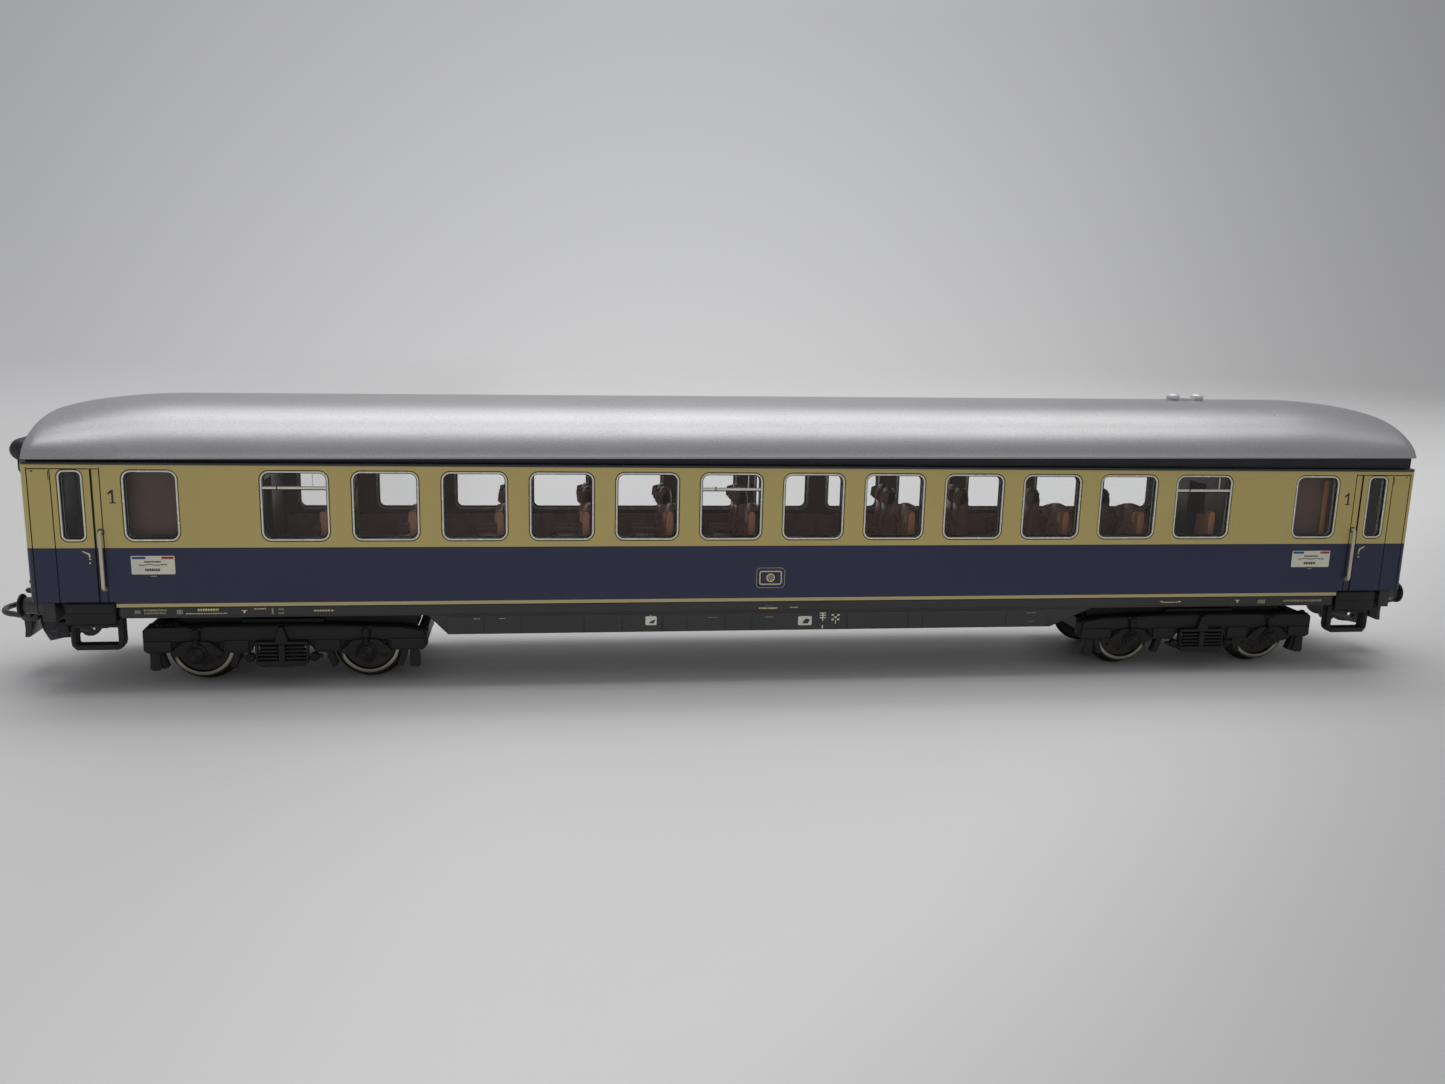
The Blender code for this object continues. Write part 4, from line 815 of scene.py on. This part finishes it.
# ================================================================== ends: buffers, steps, rails, gangways, doors
for sx, a in ((-1, "left"), (1, "right")):
    for sy, b in ((-1, "near"), (1, "far")):
        g = G()
        g.turn([(0.05, 113.2), (0.8, 113.2), (0.8, 117.2), (1.75, 117.22), (1.8, 117.4), (1.55, 117.75), (1.5, 118.9), (1.62, 119.0), (1.62, 119.25), (1.42, 119.35), (1.35, 121.3)],
               "x", (0, -10.0, 13.6), 32, 1)
        g.turn([(0.05, 121.1), (1.0, 121.15), (1.75, 121.55), (1.9, 121.7), (1.9, 121.95), (1.7, 122.08), (0.9, 122.18), (0.05, 122.2)], "x", (0, -10.0, 13.6), 32, 0)
        piece(g.moved(sx, -sy), f"buffer_{a}_{b}_turned", "coach", [BLACK, GUNMETAL], bevel=0.03, limit=50, smooth=50, replaces=(f"buffer_{a}_{b}",))
        g = G()  # entrance step: panel box, tread and hanging stirrup
        g.prism([(-15.35, 15.1), (-15.35, 11.75), (-14.9, 11.4), (-12.3, 12.6), (-12.3, 15.1)], "x", 105.9, 113.5)
        g.box(106.3, 113.1, -15.42, -15.2, 13.6, 15.0)
        g.box(106.0, 113.4, -15.45, -12.4, 13.28, 13.52)
        g.prism([(113.3, 12.0), (115.0, 12.0), (115.0, 10.6), (114.2, 10.2), (113.3, 10.2)], "y", -14.9, -12.9)
        path = [(105.5, 12.4), (105.5, 8.5), (105.62, 8.1), (105.95, 7.85), (106.4, 7.75), (112.0, 7.75), (112.4, 7.85), (112.65, 8.15), (112.7, 8.5), (112.7, 11.9)]
        g.tube([(x, -14.3, z) for x, z in path], 0.55, 12, flat=1.0)
        g.tube([(x, -13.1, z) for x, z in path], 0.45, 12, flat=1.0)
        g.box(105.9, 112.4, -14.9, -12.9, 7.3, 8.15)
        g.box(105.3, 112.9, -14.8, -13.0, 11.0, 12.1)
        piece(g.moved(sx, -sy), f"entrance_step_{a}_{b}", "coach", [BLACK], bevel=0.08, seg=2, limit=40, smooth=42, replaces=(f"entry_step_{a}_{b}",))
        g = G()  # handrail: a flat bar on two stand-offs
        g.tube([(107.1, -15.45, 17.6), (107.1, -15.95, 17.6), (107.1, -16.18, 17.72), (107.1, -16.25, 18.0), (107.1, -16.25, 26.4), (107.1, -16.18, 26.66), (107.1, -15.95, 26.8), (107.1, -15.45, 26.8)],
               0.30, 12)
        g.turn([(0.05, -15.62), (0.5, -15.62), (0.55, -15.5), (0.05, -15.45)], "y", (107.1, 0, 17.6), 16, 1)
        g.turn([(0.05, -15.62), (0.5, -15.62), (0.55, -15.5), (0.05, -15.45)], "y", (107.1, 0, 26.8), 16, 1)
        piece(g.moved(sx, -sy), f"grab_rail_{a}_{b}", "coach", [RAIL, GUNMETAL], smooth=60, replaces=(f"handrail_{a}_{b}",))
    g = G()  # rubber gangway: two upright rolls, a fat top roll and a backing frame
    for sy in (-1, 1):
        g.box(118.6, 119.6, sy * 4.4, sy * 6.6, 16.4, 37.6)
        for x, r in ((119.75, 0.85), (121.0, 1.05)):
            z = 16.6
            path = [(x, sy * 5.5, 16.5 + i * 0.75) for i in range(27)]
            g.tube(path, r, 14)
    g.box(118.6, 119.6, -6.6, 6.6, 34.4, 37.7)
    prof = [(0.05, -6.35), (0.7, -6.3), (1.25, -6.05), (1.62, -5.6), (1.82, -4.9), (1.85, -4.0), (1.83, 0), (1.85, 4.0), (1.82, 4.9), (1.62, 5.6), (1.25, 6.05), (0.7, 6.3), (0.05, 6.35)]
    g.turn(prof, "y", (121.85, 0, 38.3), 28)
    g.prism([(118.9, 35.0), (121.9, 34.6), (122.2, 35.2), (122.2, 38.0), (120.4, 39.1), (119.2, 38.2), (118.9, 37.6)], "y", -6.2, 6.2)
    g.box(118.9, 122.0, -6.3, 6.3, 16.3, 16.9)
    piece(g.moved(sx, 1), f"gangway_surround_{a}", "coach", [RUBBER], bevel=0.12, seg=2, limit=50, smooth=50, replaces=(f"gangway_{a}",))
    g = G()  # end door leaf with two panels and a handle
    g.box(117.25, 117.75, -3.9, 3.9, 17.3, 33.3)
    for z0, z1 in ((17.3, 19.0), (24.0, 25.6), (31.6, 33.3)):
        g.box(117.6, 118.05, -3.9, 3.9, z0, z1)
    for sy in (-1, 1):
        g.box(117.6, 118.05, sy * 2.6, sy * 3.9, 17.3, 33.3)
    g.box(117.9, 118.45, 3.0, 3.35, 24.2, 25.5)
    g.prism([(117.55, 26.2), (117.9, 26.2), (117.9, 31.1), (117.55, 31.1)], "y", -2.2, 2.2)
    piece(g.moved(sx, 1), f"end_door_leaf_{a}", "coach", [END_DOOR], bevel=0.07, seg=2, smooth=40, replaces=(f"end_door_{a}",))

# ================================================================== bogies
def bogie_geometry():
    """One bogie about its own centre, the outer end towards +X."""
    g = G()
    plate = [(-23.4, 6.9), (-22.6, 6.1), (-17.6, 6.1), (-16.9, 7.4), (-10.0, 7.4), (-9.3, 6.0), (-5.2, 5.9), (-4.6, 7.0), (4.6, 7.0), (5.2, 5.9), (9.3, 6.0),
             (10.0, 7.4), (16.9, 7.4), (17.6, 6.1), (21.2, 6.05), (21.8, 6.5), (21.8, 9.9), (21.1, 10.6), (8.0, 10.75), (0, 10.75), (-8, 10.7), (-19, 10.3), (-22.9, 9.7), (-23.4, 9.0)]
    for s in (-1, 1):
        g.prism(plate, "y", s * 11.3, s * 13.1)
        # raised upper and lower flange with the groove between them
        g.prism([(-23.0, 8.55), (21.5, 8.55), (21.5, 9.8), (21.0, 10.45), (8.0, 10.6), (-8, 10.55), (-19, 10.15), (-22.7, 9.5)], "y", s * 12.9, s * 13.42)
        for x0, x1 in ((-23.0, -17.4), (-9.2, -5.3), (5.3, 9.2), (17.4, 21.5)):
            g.box(x0, x1, s * 12.9, s * 13.38, 6.35, 8.15)
        g.box(-23.0, 21.5, s * 12.9, s * 13.22, 8.1, 8.6)
        for c in (-AXLE_X, AXLE_X):
            # axle box: arms, cover and a bolt ring
            g.prism([(c - 4.2, 6.2), (c - 3.9, 5.7), (c - 2.4, 5.4), (c + 2.4, 5.4), (c + 3.9, 5.7), (c + 4.2, 6.2), (c + 1.9, 8.15), (c - 1.9, 8.15)], "y", s * 12.9, s * 13.55)
            g.turn([(0.05, 14.22), (1.05, 14.22), (1.25, 14.1), (1.32, 13.85), (1.6, 13.8), (1.72, 13.65), (1.75, 13.2), (0.05, 13.2)], "y", (c, 0, 5.95), 28) if s > 0 else \
                g.turn([(0.05, -14.22), (1.05, -14.22), (1.25, -14.1), (1.32, -13.85), (1.6, -13.8), (1.72, -13.65), (1.75, -13.2), (0.05, -13.2)], "y", (c, 0, 5.95), 28)
            # damper above the axle box
            g.turn([(0.05, 7.2), (0.52, 7.2), (0.55, 8.6), (0.72, 8.62), (0.72, 10.1), (0.6, 10.3), (0.05, 10.3)], "z", (c, s * 13.55, 0), 16)
            g.box(c - 1.05, c + 1.05, s * 13.0, s * 13.9, 10.0, 10.45)
            for e in (-1, 1):
                # dark recess bars, spring seats and guide bolts beside each axle box
                for k in range(4):
                    g.turn([(0.55, -0.14), (0.72, 0.0), (0.55, 0.14), (0.38, 0.0)], "z", (c + e * 2.9, s * 12.95, 6.65 + k * 0.36), 14, ring=True)
                g.box(c + e * 2.2, c + e * 3.7, s * 12.3, s * 13.3, 7.95, 8.25)
        # secondary spring: tray, leaves, hangers and the pointed damper bracket
        g.prism([(-4.1, 4.5), (-3.6, 3.75), (3.6, 3.75), (4.1, 4.5), (4.1, 4.75), (-4.1, 4.75)], "y", s * 11.6, s * 14.1)
        for k in range(4):
            z = 4.95 + k * 0.62
            g.box(-3.9 + 0.12 * k, -0.55, s * 12.6, s * 13.95, z, z + 0.36)
            g.box(0.55, 3.9 - 0.12 * k, s * 12.6, s * 13.95, z, z + 0.36)
        g.box(-0.5, 0.5, s * 12.6, s * 14.15, 4.6, 7.5)
        g.box(-4.1, 4.1, s * 12.6, s * 14.0, 7.5, 8.0)
        g.box(-4.2, -3.85, s * 12.6, s * 13.9, 4.3, 8.0)
        g.box(3.85, 4.2, s * 12.6, s * 13.9, 4.3, 8.0)
        g.prism([(-1.1, 7.9), (1.1, 7.9), (0.32, 10.5), (-0.32, 10.5)], "y", s * 13.2, s * 14.15)
        for e in (-1, 1):
            g.turn([(0.05, 13.9), (0.45, 13.88), (0.75, 13.7), (0.78, 12.8), (0.05, 12.8)] if s > 0 else [(0.05, -13.9), (0.45, -13.88), (0.75, -13.7), (0.78, -12.8), (0.05, -12.8)], "y", (e * 5.1, 0, 5.2), 18)
            g.box(e * 4.9, e * 6.4, s * 12.6, s * 13.3, 4.9, 5.5)
        # brake blocks and hangers on both sides of every wheel
        for c in (-AXLE_X, AXLE_X):
            for e in (-1, 1):
                x = c + e * 6.1
                g.prism([(x - 0.45 * e, 6.6), (x + 0.55 * e, 6.6), (x + 0.35 * e, 4.8), (x + 0.2 * e - 0.6 * e, 3.1), (x - 1.3 * e, 3.4), (x - 0.75 * e, 5.0)], "y", s * 10.9, s * 12.4)
        for x in (20.2, -21.2):
            g.prism([(x - 0.75, 6.4), (x + 0.75, 6.4), (x + 0.85, 3.3), (x + 0.5, 3.0), (x - 0.6, 3.0), (x - 0.95, 3.4)], "y", s * 11.5, s * 12.8)
        # bolts on the top edge at the outer end
        for x in (20.5, 19.0, 17.5, 16.2):
            g.turn([(0.05, 10.95), (0.3, 10.92), (0.5, 10.8), (0.55, 10.5), (0.05, 10.5)], "z", (x, s * 12.2, 0), 14)
        # inner wall that closes the space above the wheels
        g.prism([(-21.4, 10.0), (-22.0, 11.2), (-21.0, 12.1), (14.8, 12.15), (16.6, 11.0), (17.4, 10.2), (17.4, 9.4), (-21.4, 9.4)], "y", s * 10.25, s * 11.2)
    g.box(-6.6, 6.6, -12.0, 12.0, 9.6, 11.4)
    g.box(-23.5, -21.9, -11.8, 11.8, 7.6, 9.9)
    g.box(20.2, 21.8, -11.8, 11.8, 7.6, 9.9)
    for x in (-AXLE_X, AXLE_X):
        g.box(x - 3.2, x + 3.2, -6.6, 6.6, 8.6, 9.6)
    g.box(-20.0, 20.0, -2.0, 2.0, 8.8, 9.8)
    return g


bg = bogie_geometry()
for sx, a in ((-1, "left"), (1, "right")):
    o = piece(bg.moved(sx, 1, sx * BOGIE_X), f"bogie_moulding_{a}", f"bogie_{a}", [BOGIE], bevel=0.08, seg=1, limit=38, smooth=42, replaces=(f"bogie_frame_{a}",))
    g = G()
    g.turn([(0.05, 7.7), (2.4, 7.72), (2.75, 7.95), (2.9, 8.3), (2.9, 9.3), (1.25, 9.33), (1.25, 13.7), (0.05, 13.7)], "z", (sx * BOGIE_X, 0, 0), 32)
    piece(g, f"bogie_screw_{a}", "coach", [STEEL], bevel=0.05, limit=50, smooth=45, replaces=(f"pivot_screw_{a}",))

axles = (-BOGIE_X - AXLE_X, -BOGIE_X + AXLE_X, BOGIE_X - AXLE_X, BOGIE_X + AXLE_X)
for k, x in enumerate(axles, 1):
    for s, b in ((-1, "near"), (1, "far")):
        prof = [(1.02, 7.05), (2.0, 6.9), (2.4, 7.25), (5.0, 7.3), (5.6, 7.05), (6.0, 7.1), (6.22, 7.3), (6.25, 7.45), (6.1, 7.68), (5.62, 7.92), (5.38, 8.25), (5.3, 9.6), (5.18, 9.85), (5.0, 9.9),
                (4.5, 9.88), (4.38, 9.72), (4.3, 9.3), (3.9, 9.2), (2.6, 9.35), (1.9, 9.55), (1.75, 9.95), (1.3, 10.15), (1.02, 10.15)]
        # material 3 gives the flange and tread the painted shade
        mats = [1, 1, 1, 3, 3, 3, 3, 3, 3, 3, 3, 3, 3, 0, 0, 1, 1, 2, 2, 1, 1, 1, 1]
        g = G()
        g.turn([(r, s * a_) for r, a_ in prof], "y", (x, 0, WHEEL_Z), 64, 0, mats=mats, ring=True)
        for q in range(8):  # moulded marks on the web, so that the wheel is seen to turn
            t = 2 * math.pi * q / 8
            g.turn([(0.05, s * 9.42), (0.26, s * 9.42), (0.34, s * 9.3), (0.34, s * 9.2), (0.05, s * 9.2)], "y", (x + 3.25 * math.cos(t), 0, WHEEL_Z + 3.25 * math.sin(t)), 12, 1)
        piece(g, f"wheel_turned_{k}_{b}", f"wheelset_{k}", [NICKEL, WHEEL_FACE, WHEEL_WEB, TYRE_SHADE], smooth=38, replaces=(f"wheel_{k}_{b}",))
    g = G()
    g.turn([(0.05, -12.6), (0.3, -12.58), (0.8, -12.2), (0.8, -11.1), (1.0, -10.9), (1.0, 10.9), (0.8, 11.1), (0.8, 12.2), (0.3, 12.58), (0.05, 12.6)], "y", (x, 0, WHEEL_Z), 24)
    piece(g, f"axle_turned_{k}", f"wheelset_{k}", [STEEL], bevel=0.03, limit=50, smooth=45, replaces=(f"axle_{k}",))

# ================================================================== couplers
def coupler_geometry():
    g = G()
    g.prism(rr(106.6, 123.1, -1.9, 1.9, 1.2, 6), "z", 10.45, 11.7)
    g.box(110.5, 122.2, -0.9, 0.9, 11.5, 11.95)
    g.prism([(122.35, 11.9), (122.3, 9.3), (122.85, 9.0), (124.35, 9.05), (124.95, 9.5), (124.95, 11.2), (124.05, 12.0)], "y", -3.3, 3.3)
    g.prism([(123.5, 9.7), (123.7, 7.6), (124.05, 6.15), (124.9, 6.1), (124.75, 7.6), (124.85, 9.7)], "y", -2.6, 2.6)
    g.prism([(122.7, 11.5), (123.75, 11.5), (123.75, 12.9), (124.3, 13.25), (124.8, 13.3), (125.1, 13.75), (124.9, 14.05), (124.0, 14.1), (123.2, 13.9), (122.8, 13.4)], "y", -0.5, 0.5)
    for s in (-1, 1):
        g.turn([(0.05, -0.35), (0.62, -0.35), (0.66, 0.0), (0.62, 0.35), (0.05, 0.35)], "y", (123.75, s * 3.4, 10.3), 18)
    return g


plate_outline = [(111.0, 11.2), (111.0, 8.1), (111.6, 7.4), (112.3, 7.0), (113.2, 6.95), (113.7, 6.55), (114.1, 6.0), (114.7, 5.7), (115.5, 5.65), (116.1, 5.85), (116.5, 6.3), (116.9, 6.1),
                 (117.3, 5.65), (118.4, 5.45), (119.5, 5.4), (120.8, 5.1), (121.7, 4.9), (122.1, 5.6), (122.7, 6.8), (123.0, 8.2), (123.0, 11.2)]
for sx, a in ((-1, "left"), (1, "right")):
    o = link(G().prism(plate_outline, "y", -0.6, 0.6).moved(sx, 1).mesh("coupler_plate", [COUPLER]), f"coupler_plate_{a}")
    holes = G()
    for x, z, r in ((119.95, 6.9, 0.72), (114.76, 6.85, 0.38)):
        holes.turn([(0.01, -3), (r, -3), (r, 3), (0.01, 3)], "y", (x, 0, z), 28)
    boolean(o, link(holes.moved(sx, 1).mesh("c", []), "c"))
    md = o.modifiers.new("edge", "BEVEL")
    md.width, md.segments, md.limit_method, md.angle_limit = 0.06 * MM, 2, "ANGLE", math.radians(50)
    evaluated(o)
    finish(o, f"coupler_{a}", 40)
    piece(coupler_geometry().moved(sx, 1), f"coupler_head_{a}", f"coupler_{a}", [COUPLER], bevel=0.10, seg=2, limit=35, smooth=42, replaces=(f"coupler_arm_{a}",))
    g = G()
    w = 4.15
    path = [(123.5, -w), (125.0, -w), (126.2, -3.85), (127.35, -2.95), (128.1, -1.6), (128.4, 0), (128.1, 1.6), (127.35, 2.95), (126.2, 3.85), (125.0, w), (123.5, w)]
    sm = []
    for i in range(len(path) - 1):  # smooth the bend
        p0, p1, p2, p3 = (Vector(path[max(0, i - 1)]), Vector(path[i]), Vector(path[i + 1]), Vector(path[min(len(path) - 1, i + 2)]))
        for t in (0, 0.25, 0.5, 0.75):
            sm.append(0.5 * ((2 * p1) + (p2 - p0) * t + (2 * p0 - 5 * p1 + 4 * p2 - p3) * t * t + (3 * p1 - p0 - 3 * p2 + p3) * t ** 3))
    sm.append(Vector(path[-1]))
    g.tube([(p.x, p.y, 10.3 + 0.3 * min(1.0, max(0.0, (p.x - 123.6) / 2.0))) for p in sm], 0.48, 14)
    g.tube([(123.35, -4.55, 10.3), (123.35, 4.55, 10.3)], 0.44, 14)
    piece(g.moved(sx, 1), f"coupler_loop_{a}", f"bow_{a}", [BOW], bevel=0.04, limit=60, smooth=60, replaces=(f"coupler_bow_{a}",))
    g = G()
    g.turn([(0.05, 9.72), (1.1, 9.75), (1.5, 9.92), (1.6, 10.15), (0.7, 10.18), (0.7, 13.6), (0.05, 13.6)], "z", (sx * 109.0, 0, 0), 28)
    piece(g, f"coupler_pin_{a}", "coach", [BRASS], smooth=45, replaces=(f"coupler_rivet_{a}",))

# ================================================================== CAD nodes that stay get their own finish
for node, mt in (("ballast_weight", STEEL),):
    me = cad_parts[node].data
    me.materials.clear()
    me.materials.append(mt)

# ================================================================== stage, light, camera
def disc(radius, z, n=96, rings=10):
    g = G()
    pts, faces = [(0, 0, z)], []
    for k in range(1, rings + 1):
        r = radius * (k / rings) ** 1.6
        pts += [(r * math.cos(2 * math.pi * i / n), r * math.sin(2 * math.pi * i / n), z) for i in range(n)]
    faces += [(0, 1 + i, 1 + (i + 1) % n) for i in range(n)]
    for k in range(rings - 1):
        a, b = 1 + k * n, 1 + (k + 1) * n
        faces += [(a + i, b + i, b + (i + 1) % n, a + (i + 1) % n) for i in range(n)]
    return g.add(pts, faces)


FLOOR_R = 2600.0
m, nt, b = nodes_of("pale_paper_floor")
L = nt.links.new
co = N(nt, "ShaderNodeTexCoord")
no = N(nt, "ShaderNodeTexNoise", Scale=9.0, Detail=6.0, Roughness=0.6)
L(co.outputs["Object"], no.inputs["Vector"])
rp = N(nt, "ShaderNodeValToRGB")
rp.color_ramp.elements[0].position, rp.color_ramp.elements[1].position = 0.3, 0.75
rp.color_ramp.elements[0].color, rp.color_ramp.elements[1].color = (0.86, 0.857, 0.85, 1), (0.88, 0.877, 0.87, 1)
L(no.outputs["Fac"], rp.inputs["Fac"])
# painted shade: the paper is darker towards the front right and a little darker on the left, standing in for light
# falling off across the floor
sx_ = N(nt, "ShaderNodeSeparateXYZ")
L(co.outputs["Object"], sx_.inputs[0])
diag = N(nt, "ShaderNodeMath", operation="SUBTRACT")
L(sx_.outputs["X"], diag.inputs[0])
L(sx_.outputs["Y"], diag.inputs[1])
right_painted_shade = N(nt, "ShaderNodeMapRange")
right_painted_shade.interpolation_type = "SMOOTHSTEP"
for k, v in (("From Min", 0.085), ("From Max", 0.185), ("To Min", 1.0), ("To Max", 0.62)):
    right_painted_shade.inputs[k].default_value = v
L(diag.outputs[0], right_painted_shade.inputs["Value"])
left_painted_shade = N(nt, "ShaderNodeMapRange")
left_painted_shade.interpolation_type = "SMOOTHSTEP"
for k, v in (("From Min", -0.095), ("From Max", -0.040), ("To Min", 0.87), ("To Max", 1.0)):
    left_painted_shade.inputs[k].default_value = v
L(sx_.outputs["X"], left_painted_shade.inputs["Value"])
dim = N(nt, "ShaderNodeMath", operation="MULTIPLY")
L(right_painted_shade.outputs[0], dim.inputs[0])
L(left_painted_shade.outputs[0], dim.inputs[1])
shade = N(nt, "ShaderNodeVectorMath", operation="MULTIPLY")
L(rp.outputs[0], shade.inputs[0])
L(dim.outputs[0], shade.inputs[1])
L(shade.outputs[0], b.inputs["Base Color"])
b.inputs["Roughness"].default_value = 0.6
b.inputs["Specular IOR Level"].default_value = 0.25
ln = N(nt, "ShaderNodeVectorMath", operation="LENGTH")
L(co.outputs["Object"], ln.inputs[0])
fade = N(nt, "ShaderNodeMapRange")
fade.inputs["From Min"].default_value, fade.inputs["From Max"].default_value = 0.26, 1.05
fade.interpolation_type = "SMOOTHSTEP"
L(ln.outputs["Value"], fade.inputs["Value"])
tr = N(nt, "ShaderNodeBsdfTransparent")
mx = N(nt, "ShaderNodeMixShader")
L(fade.outputs[0], mx.inputs[0])
L(b.outputs[0], mx.inputs[1])
L(tr.outputs[0], mx.inputs[2])
L(mx.outputs[0], nt.nodes["Material Output"].inputs["Surface"])
floor = link(disc(FLOOR_R, -0.02).mesh("floor_paper", [m]), "floor_paper")
floor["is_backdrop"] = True

world = bpy.data.worlds.new("soft_room")
bpy.context.scene.world = world
world.use_nodes = True
nt = world.node_tree
L = nt.links.new
bgd = nt.nodes["Background"]
co = N(nt, "ShaderNodeTexCoord")
sp = N(nt, "ShaderNodeSeparateXYZ")
L(co.outputs["Generated"], sp.inputs[0])
# by height: floor level, wall, upper wall, ceiling
rz = N(nt, "ShaderNodeMapRange")
rz.inputs["From Min"].default_value, rz.inputs["From Max"].default_value = -0.3, 0.7
L(sp.outputs["Z"], rz.inputs["Value"])
back = N(nt, "ShaderNodeValToRGB")
er = back.color_ramp.elements
er[0].position, er[0].color = 0.0, (0.58, 0.575, 0.57, 1)
er[1].position, er[1].color = 1.0, (0.72, 0.722, 0.735, 1)
for pos, c in ((0.24, (0.615, 0.614, 0.622)), (0.37, (0.555, 0.558, 0.572)), (0.50, (0.495, 0.498, 0.51)), (0.62, (0.55, 0.552, 0.565)), (0.75, (0.64, 0.642, 0.655))):
    e = back.color_ramp.elements.new(pos)
    e.color = (*c, 1)
L(rz.outputs[0], back.inputs["Fac"])
front = N(nt, "ShaderNodeValToRGB")
fr = front.color_ramp.elements
fr[0].position, fr[0].color = 0.0, (0.37, 0.365, 0.36, 1)
fr[1].position, fr[1].color = 1.0, (0.285, 0.29, 0.305, 1)
L(rz.outputs[0], front.inputs["Fac"])
flat = N(nt, "ShaderNodeCombineXYZ")
L(sp.outputs["X"], flat.inputs["X"])
L(sp.outputs["Y"], flat.inputs["Y"])
unit = N(nt, "ShaderNodeVectorMath", operation="NORMALIZE")
L(flat.outputs[0], unit.inputs[0])
us = N(nt, "ShaderNodeSeparateXYZ")
L(unit.outputs[0], us.inputs[0])
ru = N(nt, "ShaderNodeMapRange")
ru.inputs["From Min"].default_value = -1.0
L(us.outputs["X"], ru.inputs["Value"])
side = N(nt, "ShaderNodeValToRGB")
side.color_ramp.interpolation = "B_SPLINE"
sr = side.color_ramp.elements
sr[0].position, sr[0].color = 0.0, (0.45, 0.46, 0.47, 1)
sr[1].position, sr[1].color = 1.0, (0.36, 0.36, 0.365, 1)
for pos, v, w in ((0.32, 0.72, 0.74), (0.45, 0.95, 0.955), (0.57, 1.02, 1.02), (0.69, 0.88, 0.88), (0.80, 0.50, 0.505)):
    e = side.color_ramp.elements.new(pos)
    e.color = (v, v, w, 1)
L(ru.outputs[0], side.inputs["Fac"])
shaped = N(nt, "ShaderNodeVectorMath", operation="MULTIPLY")
L(back.outputs[0], shaped.inputs[0])
L(side.outputs[0], shaped.inputs[1])
ry = N(nt, "ShaderNodeMapRange")
ry.inputs["From Min"].default_value, ry.inputs["From Max"].default_value = -0.35, 0.35
ry.interpolation_type = "SMOOTHSTEP"
L(sp.outputs["Y"], ry.inputs["Value"])
mix = N(nt, "ShaderNodeMixRGB")
L(ry.outputs[0], mix.inputs["Fac"])
L(front.outputs[0], mix.inputs["Color1"])
L(shaped.outputs[0], mix.inputs["Color2"])
L(mix.outputs[0], bgd.inputs["Color"])
bgd.inputs["Strength"].default_value = 1.0


def area(name, at, target, sx, sy, power, colour=(1, 1, 1)):
    d = bpy.data.lights.new(name, "AREA")
    d.shape, d.size, d.size_y, d.energy, d.color = "RECTANGLE", sx, sy, power, colour
    o = bpy.data.objects.new(name, d)
    o.location = at
    o.rotation_euler = (Vector(target) - Vector(at)).to_track_quat("-Z", "Y").to_euler()
    bpy.context.scene.collection.objects.link(o)
    return o


area("overhead_soft", (0.15, 0.395, 1.5), (0.15, 0.395, 0), 1.76, 1.31, 9.0)
area("overhead_strip_top", (0.15, -0.02, 1.49), (0.15, -0.02, 0), 1.76, 0.20, 1.40)
area("overhead_strip_back", (0.15, 0.50, 1.49), (0.15, 0.50, 0), 1.76, 0.20, 1.50)

cam_data = bpy.data.cameras.new("camera")
cam_data.sensor_fit = "HORIZONTAL"
cam_data.sensor_width = 36.0
cam_data.lens = 1229.81 * 36.0 / 1445.0
cam_data.clip_start, cam_data.clip_end = 0.005, 20.0
cam = bpy.data.objects.new("camera", cam_data)
bpy.context.scene.collection.objects.link(cam)
cam.matrix_world = Matrix((
    (0.990023, 0.003021, -0.140874, -0.0376137),
    (-0.138531, 0.203664, -0.969191, -0.2166592),
    (0.025763, 0.979036, 0.202050, 0.0668063),
    (0, 0, 0, 1)))
bpy.context.scene.camera = cam
bpy.context.scene.view_settings.view_transform = "Standard"
bpy.context.scene.view_settings.look = "None"

bpy.context.view_layer.update()


def plain(value):
    return [plain(v) for v in value] if hasattr(value, "__len__") else float(value)


{"cad": plain(cad_bounds), "visual": plain(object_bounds())}
